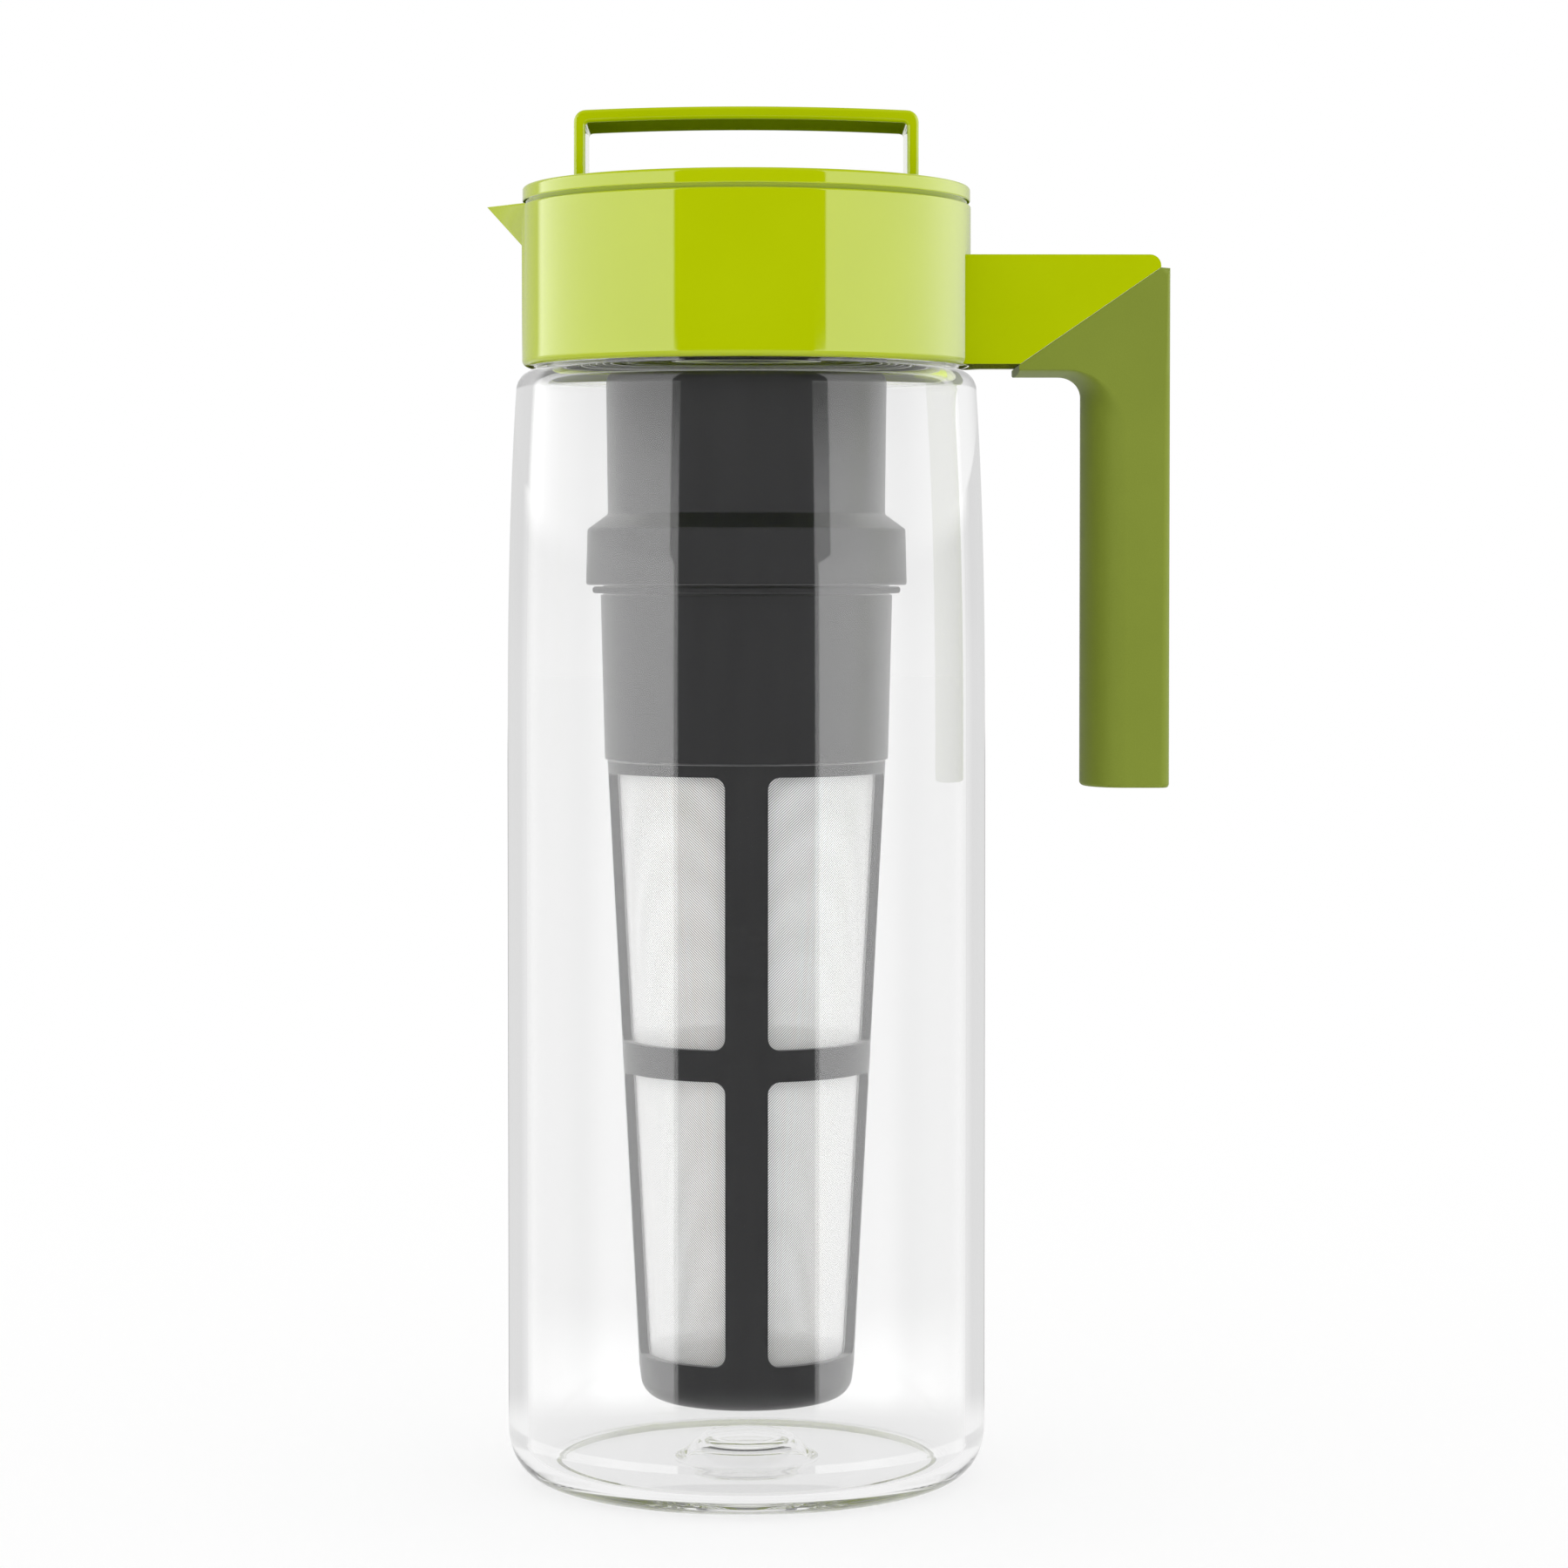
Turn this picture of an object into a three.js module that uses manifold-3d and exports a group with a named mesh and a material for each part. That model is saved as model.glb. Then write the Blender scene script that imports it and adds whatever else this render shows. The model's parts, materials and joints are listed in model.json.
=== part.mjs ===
// Iced tea pitcher: a clear jar, a pouring collar with a side handle, a twist-out lid and a hanging infuser.
// Millimetres, +Z up. The pitcher stands on z = 0, with its spout towards -X and its handle towards +X.

import * as THREE from 'three';
import { ConvexGeometry } from 'three/addons/geometries/ConvexGeometry.js';
import { mergeVertices } from 'three/addons/utils/BufferGeometryUtils.js';
import Module from 'manifold-3d';

const wasm = await Module();
wasm.setup();

// Facets of round shapes
const FACETS_ROUND = 48;
const ARC_STEPS = 4;
const BEAD_STEPS = 2;
const CURVE_STEPS = 5;

// Clearances
const FIT_GAP = 0.3;
const RUN_GAP = 0.4;
const SEAM_GAP = 0.9;
const SHOULDER_GAP = 0.6;

// Jar
const JAR_RADIUS = 52.6;
const JAR_WALL = 4.2;
const JAR_HEIGHT = 243.4;
const BARREL_START = 155;
const BARREL_POWER = 2.7;
const SHOULDER_INSET = 1.7;
const SHOULDER_RISE = 4.6;
const INNER_SHOULDER_RISE = 2.3;
const CORNER_REACH = 8.2;
const CORNER_RISE = 10.8;
const INNER_CORNER_RISE = 8.8;
const STAND_WIDTH = 2.4;
const STAND_SLOPE = 0.8;
const FLOOR_THICKNESS = 2.3;
const STAND_DEPTH = 1.7;
const PUNT_RISE = 4.7;
const PUNT_RADIUS = 16;
const PUNT_TOP_RADIUS = 8.7;
const NECK_WALL = 2.3;
const SNAP_DEPTH = 1;
const SNAP_LAND = 0.6;
const SNAP_HEIGHT = 3;
const SNAP_BELOW_RIM = 8;
const NECK_SEAL_THICKNESS = 1.2;

// Collar and spout
const COLLAR_RADIUS = 49.3;
const COLLAR_HEIGHT = 35.2;
const COLLAR_WALL = 2.8;
const COLLAR_ROUNDING = 1.4;
const COLLAR_EDGE = 0.4;
const CHAMBER_HEIGHT = 10.2;
const SHELF_THICKNESS = 2.4;
const LIP_WALL = 3.1;
const LIP_DEPTH = 12;
const SPOUT_REACH = 57.1;
const SPOUT_HALF_WIDTH = 11.4;
const SPOUT_DROP = 8.6;
const SPOUT_TIP_WALL = 1.9;

// Side handle
const HANDLE_REACH = 92.15;
const HANDLE_DEPTH = 27;
const ARM_SET_BACK = 2.15;
const ARM_RAISE = 0.2;
const ARM_HEIGHT = 23.7;
const ARM_CORNER = 2.4;
const ARM_ABOVE_JOIN = 0.2;
const TENON_WIDTH = 14;
const TENON_HEIGHT = 12;
const TENON_DEPTH = 1.5;
const GRIP_FROM_COLLAR = 9.9;
const GRIP_THICKNESS = 18.65;
const GRIP_FLAT = 9.4;
const GRIP_BELOW_ARM_TOP = 2.8;
const GRIP_LIP = 2.15;
const GRIP_CREASE_LIFT = 0.9;
const GRIP_DROP = 92.15;
const GRIP_INNER_FILLET = 4.6;
const GRIP_CREASE_FILLET = 13;
const GRIP_EDGE = 2.3;
const GRIP_BACK_WALL = 3;
const GRIP_SIDE_WALL = 4;
const GRIP_INNER_WALL = 5.5;
const GRIP_END_WALL = 12;
const CORE_INTO_ARM = 18;

// Lid
const LID_INSET = 0.15;
const LID_THICKNESS = 3.2;
const LID_ROUNDING = 0.8;
const LID_EDGE = 0.3;
const STRAP_HALF_WIDTH = 37.4;
const STRAP_DEPTH = 25;
const STRAP_RISE = 16.7;
const STRAP_BAR = 2.7;
const STRAP_LEG = 2.4;
const STRAP_CROWN = 0.8;
const STRAP_CORNER = 2.6;
const STRAP_INNER_CORNER = 1;
const PLUG_PLATE = 2.2;
const PLUG_WALL = 3.3;
const PLUG_BELOW_LIP = 1;
const PORT_WIDTH = 24;
const PORT_ABOVE_SHELF = 1.5;
const LID_SEAL_THICKNESS = 1.6;
const LID_SEAL_HEIGHT = 2.4;

// Infuser
const POUR_GAP = 4.8;
const TUBE_TAPER = 0.6;
const TUBE_WALL = 2;
const TUBE_LENGTH = 49.7;
const SPIGOT_STEP = 1.7;
const SPIGOT_END_GAP = 1;
const SOCKET_WALL = 2.2;
const SOCKET_DEPTH = 14.6;
const TUBE_SEAL_THICKNESS = 1;
const FLARE_STEP = 4.2;
const FLARE_DRAFT = 0.3;
const FLARE_WALL = 3.4;
const FLARE_SLOPE = 3.3;
const FLARE_HEIGHT = 12.2;
const FLARE_ROOF = 2;
const BEAD_PROUD = 1.8;
const BEAD_HEIGHT = 1.5;
const BEAD_ROUNDING = 0.6;
const SLEEVE_TAPER = 0.9;
const SLEEVE_WALL = 2;
const SLEEVE_LENGTH = 36.1;
const SLEEVE_STEP = 0.6;
const FRAME_STEP = 0.5;
const FRAME_TAPER = 7.3;
const FRAME_WALL = 2;
const FRAME_SPIGOT_WALL = 1.3;
const FRAME_SPIGOT_RISE = 14;
const WINDOW_BAND = 2.6;
const UPPER_WINDOW = 58.7;
const MIDDLE_RING = 6.9;
const CUP_HEIGHT = 10.1;
const BASKET_CLEARANCE = 8.6;
const CUP_ROUNDING = 4.6;
const CUP_FLOOR = 2.2;
const POST_WIDTH = 9.2;
const WINDOW_CORNER = 2.6;
const MESH_THICKNESS = 0.6;
const MESH_LAP = 1.6;

// Tolerances of the geometry itself
const WELD = 1e-4;
const CUT_MARGIN = 1;

// Radii that follow from the driving sizes
const collarBore = COLLAR_RADIUS - COLLAR_WALL;
const neckRadius = collarBore - FIT_GAP;
const neckInner = neckRadius - NECK_WALL;
const shoulderRadius = JAR_RADIUS - SHOULDER_INSET;
const lipOuter = neckInner - FIT_GAP;
const lipBore = lipOuter - LIP_WALL;
const lidSealOuter = lipBore - FIT_GAP;
const lidSealInner = lidSealOuter - LID_SEAL_THICKNESS;
const plugRadius = lipBore - RUN_GAP;
const plugInner = plugRadius - PLUG_WALL;
const lidRadius = COLLAR_RADIUS - LID_INSET;
const socketBore = plugInner - POUR_GAP - SOCKET_WALL;
const tubeSpigot = socketBore - RUN_GAP;
const tubeRadius = tubeSpigot + SPIGOT_STEP;
const flareRadius = tubeRadius + FLARE_STEP;
const flareBore = flareRadius - FLARE_WALL;
const sleeveSpigot = flareBore - RUN_GAP;
const sleeveRadius = sleeveSpigot + SLEEVE_STEP;
const sleeveLow = sleeveRadius - SLEEVE_TAPER;
const sleeveBore = sleeveLow - SLEEVE_WALL;
const beadRadius = sleeveRadius + BEAD_PROUD;
const frameTopRadius = sleeveLow - FRAME_STEP;

// Heights above the jar's foot
const shoulderStart = JAR_HEIGHT - SHOULDER_RISE;
const floorTop = STAND_DEPTH + FLOOR_THICKNESS;
const puntTop = floorTop + PUNT_RISE;
const collarBottom = JAR_HEIGHT + SHOULDER_GAP;
const lidSeat = collarBottom + COLLAR_HEIGHT + SEAM_GAP;
const basketFoot = puntTop + BASKET_CLEARANCE;

// Heights above the collar's lower edge
const shelfTop = COLLAR_HEIGHT - CHAMBER_HEIGHT;
const channelRoof = shelfTop - SHELF_THICKNESS;
const neckRim = channelRoof - NECK_SEAL_THICKNESS - 2 * FIT_GAP;
const lipBottom = channelRoof - LIP_DEPTH;
const snapBottom = neckRim - SNAP_BELOW_RIM;

// Heights above the lid's underside, so most of them are negative
const plugTop = -FIT_GAP;
const plateUnder = plugTop - PLUG_PLATE;
const collarFromLid = collarBottom - lidSeat;
const plugBottom = collarFromLid + lipBottom - PLUG_BELOW_LIP;
const lidSealBottom = collarFromLid + lipBottom + (LIP_DEPTH - LID_SEAL_HEIGHT) / 2;
const socketBottom = plateUnder - SOCKET_DEPTH;
const tubeShoulder = socketBottom - TUBE_SEAL_THICKNESS - 2 * FIT_GAP;

// Heights above the tube's shoulder, and then above the seam between sleeve and frame
const flareBottom = -TUBE_LENGTH - FLARE_SLOPE - FLARE_HEIGHT;
const sleeveShoulder = flareBottom - BEAD_HEIGHT - 2 * FIT_GAP;
const frameSeam = sleeveShoulder - SLEEVE_LENGTH;
const upperWindowTop = -FIT_GAP - WINDOW_BAND;
const lowerWindowTop = upperWindowTop - UPPER_WINDOW - MIDDLE_RING;
const cupBottom = basketFoot - (lidSeat + tubeShoulder + frameSeam);
const cupTop = cupBottom + CUP_HEIGHT;

// Closed bodies and cuts

function welded(geometry) {
  geometry.deleteAttribute('normal');
  geometry.deleteAttribute('uv');
  const merged = mergeVertices(geometry, WELD);
  const corners = merged.index.array;
  const kept = [];
  for (let i = 0; i < corners.length; i += 3) {
    const [a, b, c] = corners.slice(i, i + 3);
    if (a !== b && b !== c && c !== a) {
      kept.push(a, b, c);
    }
  }
  merged.setIndex(kept);
  return merged;
}

function solidOf(geometry) {
  const closed = welded(geometry);
  const vertProperties = new Float32Array(closed.attributes.position.array);
  const triVerts = new Uint32Array(closed.index.array);
  return new wasm.Manifold(new wasm.Mesh({ numProp: 3, vertProperties, triVerts }));
}

function geometryOf(solid) {
  const { vertProperties, triVerts } = solid.getMesh();
  const geometry = new THREE.BufferGeometry();
  geometry.setAttribute('position', new THREE.BufferAttribute(vertProperties, 3));
  geometry.setIndex(new THREE.BufferAttribute(triVerts, 1));
  return geometry;
}

// An outline of [radius, height] points turned about Z. It runs anticlockwise, and either
// starts and ends on the axis or closes on itself.
function turned(outline) {
  const points = outline.map(([radius, height]) => new THREE.Vector2(radius, height));
  if (points[0].x > 0) {
    points.push(points[0].clone());
  }
  const geometry = new THREE.LatheGeometry(points, FACETS_ROUND);
  geometry.rotateX(Math.PI / 2);
  return welded(geometry);
}

// Points of an elliptic arc, with both ends
function arc([centreX, centreY], [reachX, reachY], fromDegrees, toDegrees, steps = ARC_STEPS) {
  const points = [];
  for (let i = 0; i <= steps; i += 1) {
    const angle = THREE.MathUtils.degToRad(THREE.MathUtils.lerp(fromDegrees, toDegrees, i / steps));
    points.push([centreX + reachX * Math.cos(angle), centreY + reachY * Math.sin(angle)]);
  }
  return points;
}

// Points of an S-shaped rise between two points of an outline, with both ends
function easedRise([fromX, fromY], [toX, toY]) {
  const points = [];
  for (let i = 0; i <= CURVE_STEPS; i += 1) {
    const t = i / CURVE_STEPS;
    const eased = (1 - Math.cos(Math.PI * t)) / 2;
    points.push([THREE.MathUtils.lerp(fromX, toX, t), THREE.MathUtils.lerp(fromY, toY, eased)]);
  }
  return points;
}

// An outline in X and Z, extruded along Y and centred on it
function sidePlate(outline, depth) {
  const shape = new THREE.Shape(outline.map(([x, z]) => new THREE.Vector2(x, z)));
  const geometry = new THREE.ExtrudeGeometry(shape, { depth, bevelEnabled: false });
  geometry.rotateX(Math.PI / 2);
  geometry.translate(0, depth / 2, 0);
  return geometry;
}

// A block between two corners
function block([lowX, lowY, lowZ], [highX, highY, highZ]) {
  const geometry = new THREE.BoxGeometry(highX - lowX, highY - lowY, highZ - lowZ);
  geometry.translate((lowX + highX) / 2, (lowY + highY) / 2, (lowZ + highZ) / 2);
  return geometry;
}

// A skin over closed sections of [x, y, z] points, all with as many points, with flat ends
function lofted(sections) {
  const count = sections[0].length;
  const triangles = [];
  for (let s = 0; s + 1 < sections.length; s += 1) {
    for (let i = 0; i < count; i += 1) {
      const a = s * count + i;
      const b = s * count + (i + 1) % count;
      triangles.push(a, b, b + count, a, b + count, a + count);
    }
  }
  const last = (sections.length - 1) * count;
  for (let i = 1; i + 1 < count; i += 1) {
    triangles.push(0, i + 1, i, last, last + i, last + i + 1);
  }
  const geometry = new THREE.BufferGeometry();
  geometry.setAttribute('position', new THREE.Float32BufferAttribute(sections.flat(2), 3));
  geometry.setIndex(triangles);
  return geometry;
}

// A plain rectangular ring
function ring(inner, outer, bottom, height) {
  return turned([[inner, bottom], [outer, bottom], [outer, bottom + height], [inner, bottom + height]]);
}

// Jar

function barrelRadius(height) {
  const t = Math.max(0, (height - BARREL_START) / (shoulderStart - BARREL_START));
  return JAR_RADIUS - SHOULDER_INSET * t ** BARREL_POWER;
}

function jarBarrel(inset) {
  const points = [];
  for (let i = 0; i < CURVE_STEPS; i += 1) {
    const height = THREE.MathUtils.lerp(BARREL_START, shoulderStart, i / CURVE_STEPS);
    points.push([barrelRadius(height) - inset, height]);
  }
  return points;
}

function jar() {
  const standOuter = JAR_RADIUS - CORNER_REACH;
  const standInner = standOuter - STAND_WIDTH;
  const wallInner = JAR_RADIUS - JAR_WALL;
  const snap = collarBottom + snapBottom;
  const neckTop = collarBottom + neckRim;
  const shoulderInner = shoulderRadius - JAR_WALL;
  const underside = [
    [0, puntTop - FLOOR_THICKNESS],
    ...easedRise([PUNT_TOP_RADIUS, puntTop - FLOOR_THICKNESS], [PUNT_RADIUS, STAND_DEPTH]),
    [standInner - STAND_SLOPE, STAND_DEPTH],
    [standInner, 0],
  ];
  const outside = [
    ...arc([standOuter, CORNER_RISE], [CORNER_REACH, CORNER_RISE], -90, 0),
    ...jarBarrel(0),
    ...arc([neckRadius, shoulderStart], [shoulderRadius - neckRadius, SHOULDER_RISE], 0, 90),
    [neckRadius, snap],
    [neckRadius + SNAP_DEPTH, snap],
    [neckRadius + SNAP_DEPTH, snap + SNAP_LAND],
    [neckRadius, snap + SNAP_HEIGHT],
    [neckRadius, neckTop],
  ];
  const innerCorner = [wallInner - CORNER_REACH, floorTop + INNER_CORNER_RISE];
  const inside = [
    [neckInner, neckTop],
    ...arc([neckInner, shoulderStart], [shoulderInner - neckInner, INNER_SHOULDER_RISE], 90, 0),
    ...jarBarrel(JAR_WALL).reverse(),
    ...arc(innerCorner, [CORNER_REACH, INNER_CORNER_RISE], 0, -90),
    ...easedRise([PUNT_RADIUS, floorTop], [PUNT_TOP_RADIUS, puntTop]),
    [0, puntTop],
  ];
  return turned([...underside, ...outside, ...inside]);
}

function neckSeal() {
  return ring(neckInner, neckRadius, collarBottom + neckRim + FIT_GAP, NECK_SEAL_THICKNESS);
}

// Collar with its spout, above its own lower edge

// A three-sided beak whose tip lies the given distance from the jar's axis, level with its own top
function beak(tip, rootX, top) {
  const widthSlope = SPOUT_HALF_WIDTH / (SPOUT_REACH - COLLAR_RADIUS + COLLAR_WALL / 2);
  const dropSlope = SPOUT_DROP / (SPOUT_REACH - COLLAR_RADIUS);
  const run = tip - rootX;
  return solidOf(new ConvexGeometry([
    new THREE.Vector3(-tip, 0, top),
    new THREE.Vector3(-rootX, run * widthSlope, top),
    new THREE.Vector3(-rootX, -run * widthSlope, top),
    new THREE.Vector3(-rootX, 0, top - run * dropSlope),
  ]));
}

function spoutCollar() {
  const snapBore = collarBore + SNAP_DEPTH;
  const body = turned([
    ...arc([COLLAR_RADIUS - COLLAR_ROUNDING, COLLAR_ROUNDING], [COLLAR_ROUNDING, COLLAR_ROUNDING], -90, 0),
    [COLLAR_RADIUS, COLLAR_HEIGHT - COLLAR_EDGE],
    [COLLAR_RADIUS - COLLAR_EDGE, COLLAR_HEIGHT],
    [collarBore, COLLAR_HEIGHT],
    [collarBore, shelfTop],
    [lipBore, shelfTop],
    [lipBore, lipBottom],
    [lipOuter, lipBottom],
    [lipOuter, channelRoof],
    [collarBore, channelRoof],
    [collarBore, snapBottom + SNAP_HEIGHT + FIT_GAP],
    [snapBore, snapBottom + SNAP_LAND + FIT_GAP],
    [snapBore, snapBottom - FIT_GAP],
    [collarBore, snapBottom - FIT_GAP],
    [collarBore, 0],
  ]);
  const spout = beak(SPOUT_REACH, COLLAR_RADIUS - COLLAR_WALL / 2, COLLAR_HEIGHT);
  const channel = beak(SPOUT_REACH - SPOUT_TIP_WALL, collarBore - RUN_GAP, COLLAR_HEIGHT);
  const openTop = beak(SPOUT_REACH - SPOUT_TIP_WALL, collarBore - RUN_GAP, COLLAR_HEIGHT + CUT_MARGIN);
  const pocket = solidOf(tenon(FIT_GAP).translate(0, 0, ARM_RAISE));
  return geometryOf(solidOf(body).add(spout).subtract(channel.add(openTop)).subtract(pocket));
}

// Side handle, above the arm's lower edge

const armReach = HANDLE_REACH - ARM_SET_BACK;
const gripInner = HANDLE_REACH - GRIP_THICKNESS;
const gripCrease = HANDLE_REACH - GRIP_FLAT;
const gripStart = COLLAR_RADIUS + GRIP_FROM_COLLAR;
const gripTop = ARM_HEIGHT - GRIP_BELOW_ARM_TOP;

// Ends of the slanting joint between arm and grip
const joinLow = new THREE.Vector2(gripStart, -ARM_ABOVE_JOIN);
const joinHigh = new THREE.Vector2(armReach - FIT_GAP, gripTop);

// The key on the arm's root, grown by a clearance for its pocket in the collar
function tenon(clearance) {
  const middle = ARM_HEIGHT / 2;
  const halfWidth = TENON_WIDTH / 2 + clearance;
  const halfHeight = TENON_HEIGHT / 2 + clearance;
  return block(
    [COLLAR_RADIUS - TENON_DEPTH - clearance, -halfWidth, middle - halfHeight],
    [COLLAR_RADIUS + COLLAR_WALL, halfWidth, middle + halfHeight],
  );
}

// The post of the arm inside the grip, grown by a clearance for its pocket
function gripCore(clearance, top) {
  const half = HANDLE_DEPTH / 2 - GRIP_SIDE_WALL + clearance;
  return block(
    [gripInner + GRIP_INNER_WALL - clearance, -half, GRIP_END_WALL - GRIP_DROP - clearance],
    [HANDLE_REACH - GRIP_BACK_WALL + clearance, half, top],
  );
}

function handleArm() {
  const bracket = solidOf(sidePlate([
    [collarBore, 0],
    [armReach, 0],
    ...arc([armReach - ARM_CORNER, ARM_HEIGHT - ARM_CORNER], [ARM_CORNER, ARM_CORNER], 0, 90),
    [collarBore, ARM_HEIGHT],
  ], HANDLE_DEPTH));
  const along = joinHigh.clone().sub(joinLow).normalize();
  const lift = new THREE.Vector2(-along.y, along.x).multiplyScalar(FIT_GAP);
  const low = joinLow.clone().add(lift).addScaledVector(along, -CUT_MARGIN);
  const high = joinHigh.clone().add(lift);
  const below = solidOf(sidePlate([
    [low.x, low.y],
    [low.x, low.y - CUT_MARGIN],
    [armReach + CUT_MARGIN, low.y - CUT_MARGIN],
    [armReach + CUT_MARGIN, gripTop + FIT_GAP],
    [high.x, gripTop + FIT_GAP],
    [high.x, high.y],
  ], HANDLE_DEPTH + CUT_MARGIN));
  const collarFace = COLLAR_RADIUS + FIT_GAP;
  const collarSpace = solidOf(ring(collarBore - CUT_MARGIN, collarFace, -CUT_MARGIN, COLLAR_HEIGHT));
  const core = solidOf(gripCore(0, CORE_INTO_ARM));
  return geometryOf(bracket.subtract(collarSpace).subtract(below).add(core).add(solidOf(tenon(0))));
}

// One section of the grip: flat sides from the outer line to the crease, and half an ellipse
// from there to the inner line
function gripSection([innerX, innerZ], [creaseX, creaseZ], [outerX, outerZ], edge) {
  const half = HANDLE_DEPTH / 2;
  const back = new THREE.Vector2(outerX, outerZ);
  const side = new THREE.Vector2(creaseX, creaseZ);
  const front = new THREE.Vector2(innerX, innerZ);
  const edgeStart = back.clone().lerp(side, Math.min(edge / back.distanceTo(side), 1 / 2));
  const rounded = arc([0, 0], [half, 1], 0, 180, 2 * ARC_STEPS).map(([y, reach]) => {
    const place = side.clone().lerp(front, reach);
    return [place.x, y, place.y];
  });
  return [
    [back.x, half - edge, back.y],
    [edgeStart.x, half, edgeStart.y],
    ...rounded,
    [edgeStart.x, -half, edgeStart.y],
    [back.x, -half + edge, back.y],
  ];
}

function handleGrip() {
  const underside = -GRIP_LIP;
  const innerTurn = arc(
    [gripInner - GRIP_INNER_FILLET, underside - GRIP_INNER_FILLET],
    [GRIP_INNER_FILLET, GRIP_INNER_FILLET], 0, 90,
  );
  const creaseTurn = arc(
    [gripCrease - GRIP_CREASE_FILLET, underside - GRIP_CREASE_FILLET],
    [GRIP_CREASE_FILLET, GRIP_CREASE_FILLET + GRIP_CREASE_LIFT], 0, 90,
  );
  const backTurn = [[HANDLE_REACH, underside], [HANDLE_REACH, gripTop]];
  const joinSteps = ARC_STEPS - backTurn.length + 1;
  const joinTurn = [];
  for (let i = 0; i < joinSteps; i += 1) {
    joinTurn.push(joinHigh.clone().lerp(joinLow, i / joinSteps).toArray());
  }
  const outerTurn = [...backTurn, ...joinTurn];
  const sections = [
    gripSection([gripInner, -GRIP_DROP], [gripCrease, -GRIP_DROP], [HANDLE_REACH, -GRIP_DROP], GRIP_EDGE),
  ];
  for (let i = 0; i <= ARC_STEPS; i += 1) {
    const edge = i < backTurn.length ? GRIP_EDGE : FIT_GAP;
    sections.push(gripSection(innerTurn[i], creaseTurn[i], outerTurn[i], edge));
  }
  const endCrease = underside + GRIP_CREASE_LIFT;
  sections.push(gripSection([gripStart, underside], [gripStart, endCrease], [joinLow.x, joinLow.y], FIT_GAP));
  const pocket = solidOf(gripCore(FIT_GAP, ARM_HEIGHT));
  return geometryOf(solidOf(lofted(sections)).subtract(pocket));
}

// Lid, above its own underside

function strapLeg(side, clearance, bottom, top) {
  const outer = side * (STRAP_HALF_WIDTH + clearance);
  const inner = side * (STRAP_HALF_WIDTH - STRAP_LEG - clearance);
  const half = STRAP_DEPTH / 2 + clearance;
  return block([Math.min(outer, inner), -half, bottom], [Math.max(outer, inner), half, top]);
}

function lidCap() {
  const disc = turned([
    [0, 0],
    [lidRadius - LID_EDGE, 0],
    [lidRadius, LID_EDGE],
    ...arc([lidRadius - LID_ROUNDING, LID_THICKNESS - LID_ROUNDING], [LID_ROUNDING, LID_ROUNDING], 0, 90),
    [0, LID_THICKNESS],
  ]);
  let cap = solidOf(disc);
  for (const side of [-1, 1]) {
    cap = cap.subtract(solidOf(strapLeg(side, FIT_GAP, -CUT_MARGIN, LID_THICKNESS + CUT_MARGIN)));
  }
  return geometryOf(cap);
}

// Points along a bar that is crowned between two ends at one height, from right to left
function crownedBar(halfSpan, height) {
  const points = [];
  for (let i = 0; i <= 2 * CURVE_STEPS; i += 1) {
    const x = halfSpan * (1 - i / CURVE_STEPS);
    points.push([x, height + STRAP_CROWN * (1 - (x / halfSpan) ** 2)]);
  }
  return points;
}

function lidStrap() {
  const innerHalf = STRAP_HALF_WIDTH - STRAP_LEG;
  const barTop = LID_THICKNESS + STRAP_RISE - STRAP_CROWN;
  const barUnder = barTop - STRAP_BAR;
  const corner = [STRAP_CORNER, STRAP_CORNER];
  const innerCorner = [STRAP_INNER_CORNER, STRAP_INNER_CORNER];
  const cornerX = STRAP_HALF_WIDTH - STRAP_CORNER;
  const innerX = innerHalf - STRAP_INNER_CORNER;
  return welded(sidePlate([
    [STRAP_HALF_WIDTH, 0],
    ...arc([cornerX, barTop - STRAP_CORNER], corner, 0, 90).slice(0, -1),
    ...crownedBar(cornerX, barTop),
    ...arc([-cornerX, barTop - STRAP_CORNER], corner, 90, 180).slice(1),
    [-STRAP_HALF_WIDTH, 0],
    [-innerHalf, 0],
    ...arc([-innerX, barUnder - STRAP_INNER_CORNER], innerCorner, 180, 90).slice(0, -1),
    ...crownedBar(innerX, barUnder).reverse(),
    ...arc([innerX, barUnder - STRAP_INNER_CORNER], innerCorner, 90, 0).slice(1),
    [innerHalf, 0],
  ], STRAP_DEPTH));
}

// A plate with two skirts: the outer one seals in the collar and has the pouring port,
// the inner one is the socket that the infuser screws into
function lidPlug() {
  const grooveFloor = lidSealInner - FIT_GAP;
  const grooveBottom = lidSealBottom - FIT_GAP;
  const grooveTop = lidSealBottom + LID_SEAL_HEIGHT + FIT_GAP;
  const body = turned([
    [0, plateUnder],
    [socketBore, plateUnder],
    [socketBore, socketBottom],
    [socketBore + SOCKET_WALL, socketBottom],
    [socketBore + SOCKET_WALL, plateUnder],
    [plugInner, plateUnder],
    [plugInner, plugBottom],
    [plugRadius, plugBottom],
    [plugRadius, grooveBottom],
    [grooveFloor, grooveBottom],
    [grooveFloor, grooveTop],
    [plugRadius, grooveTop],
    [plugRadius, plugTop],
    [0, plugTop],
  ]);
  const portBottom = collarFromLid + shelfTop + PORT_ABOVE_SHELF;
  const port = block(
    [-PORT_WIDTH / 2, socketBore + SOCKET_WALL + RUN_GAP, portBottom],
    [PORT_WIDTH / 2, plugRadius + CUT_MARGIN, plateUnder],
  );
  return geometryOf(solidOf(body).subtract(solidOf(port)));
}

function lidSeal() {
  return ring(lidSealInner, lidSealOuter, lidSealBottom, LID_SEAL_HEIGHT);
}

// Infuser tube, above its own shoulder

function tubeSeal() {
  return ring(tubeSpigot + FIT_GAP, tubeRadius, FIT_GAP, TUBE_SEAL_THICKNESS);
}

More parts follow.
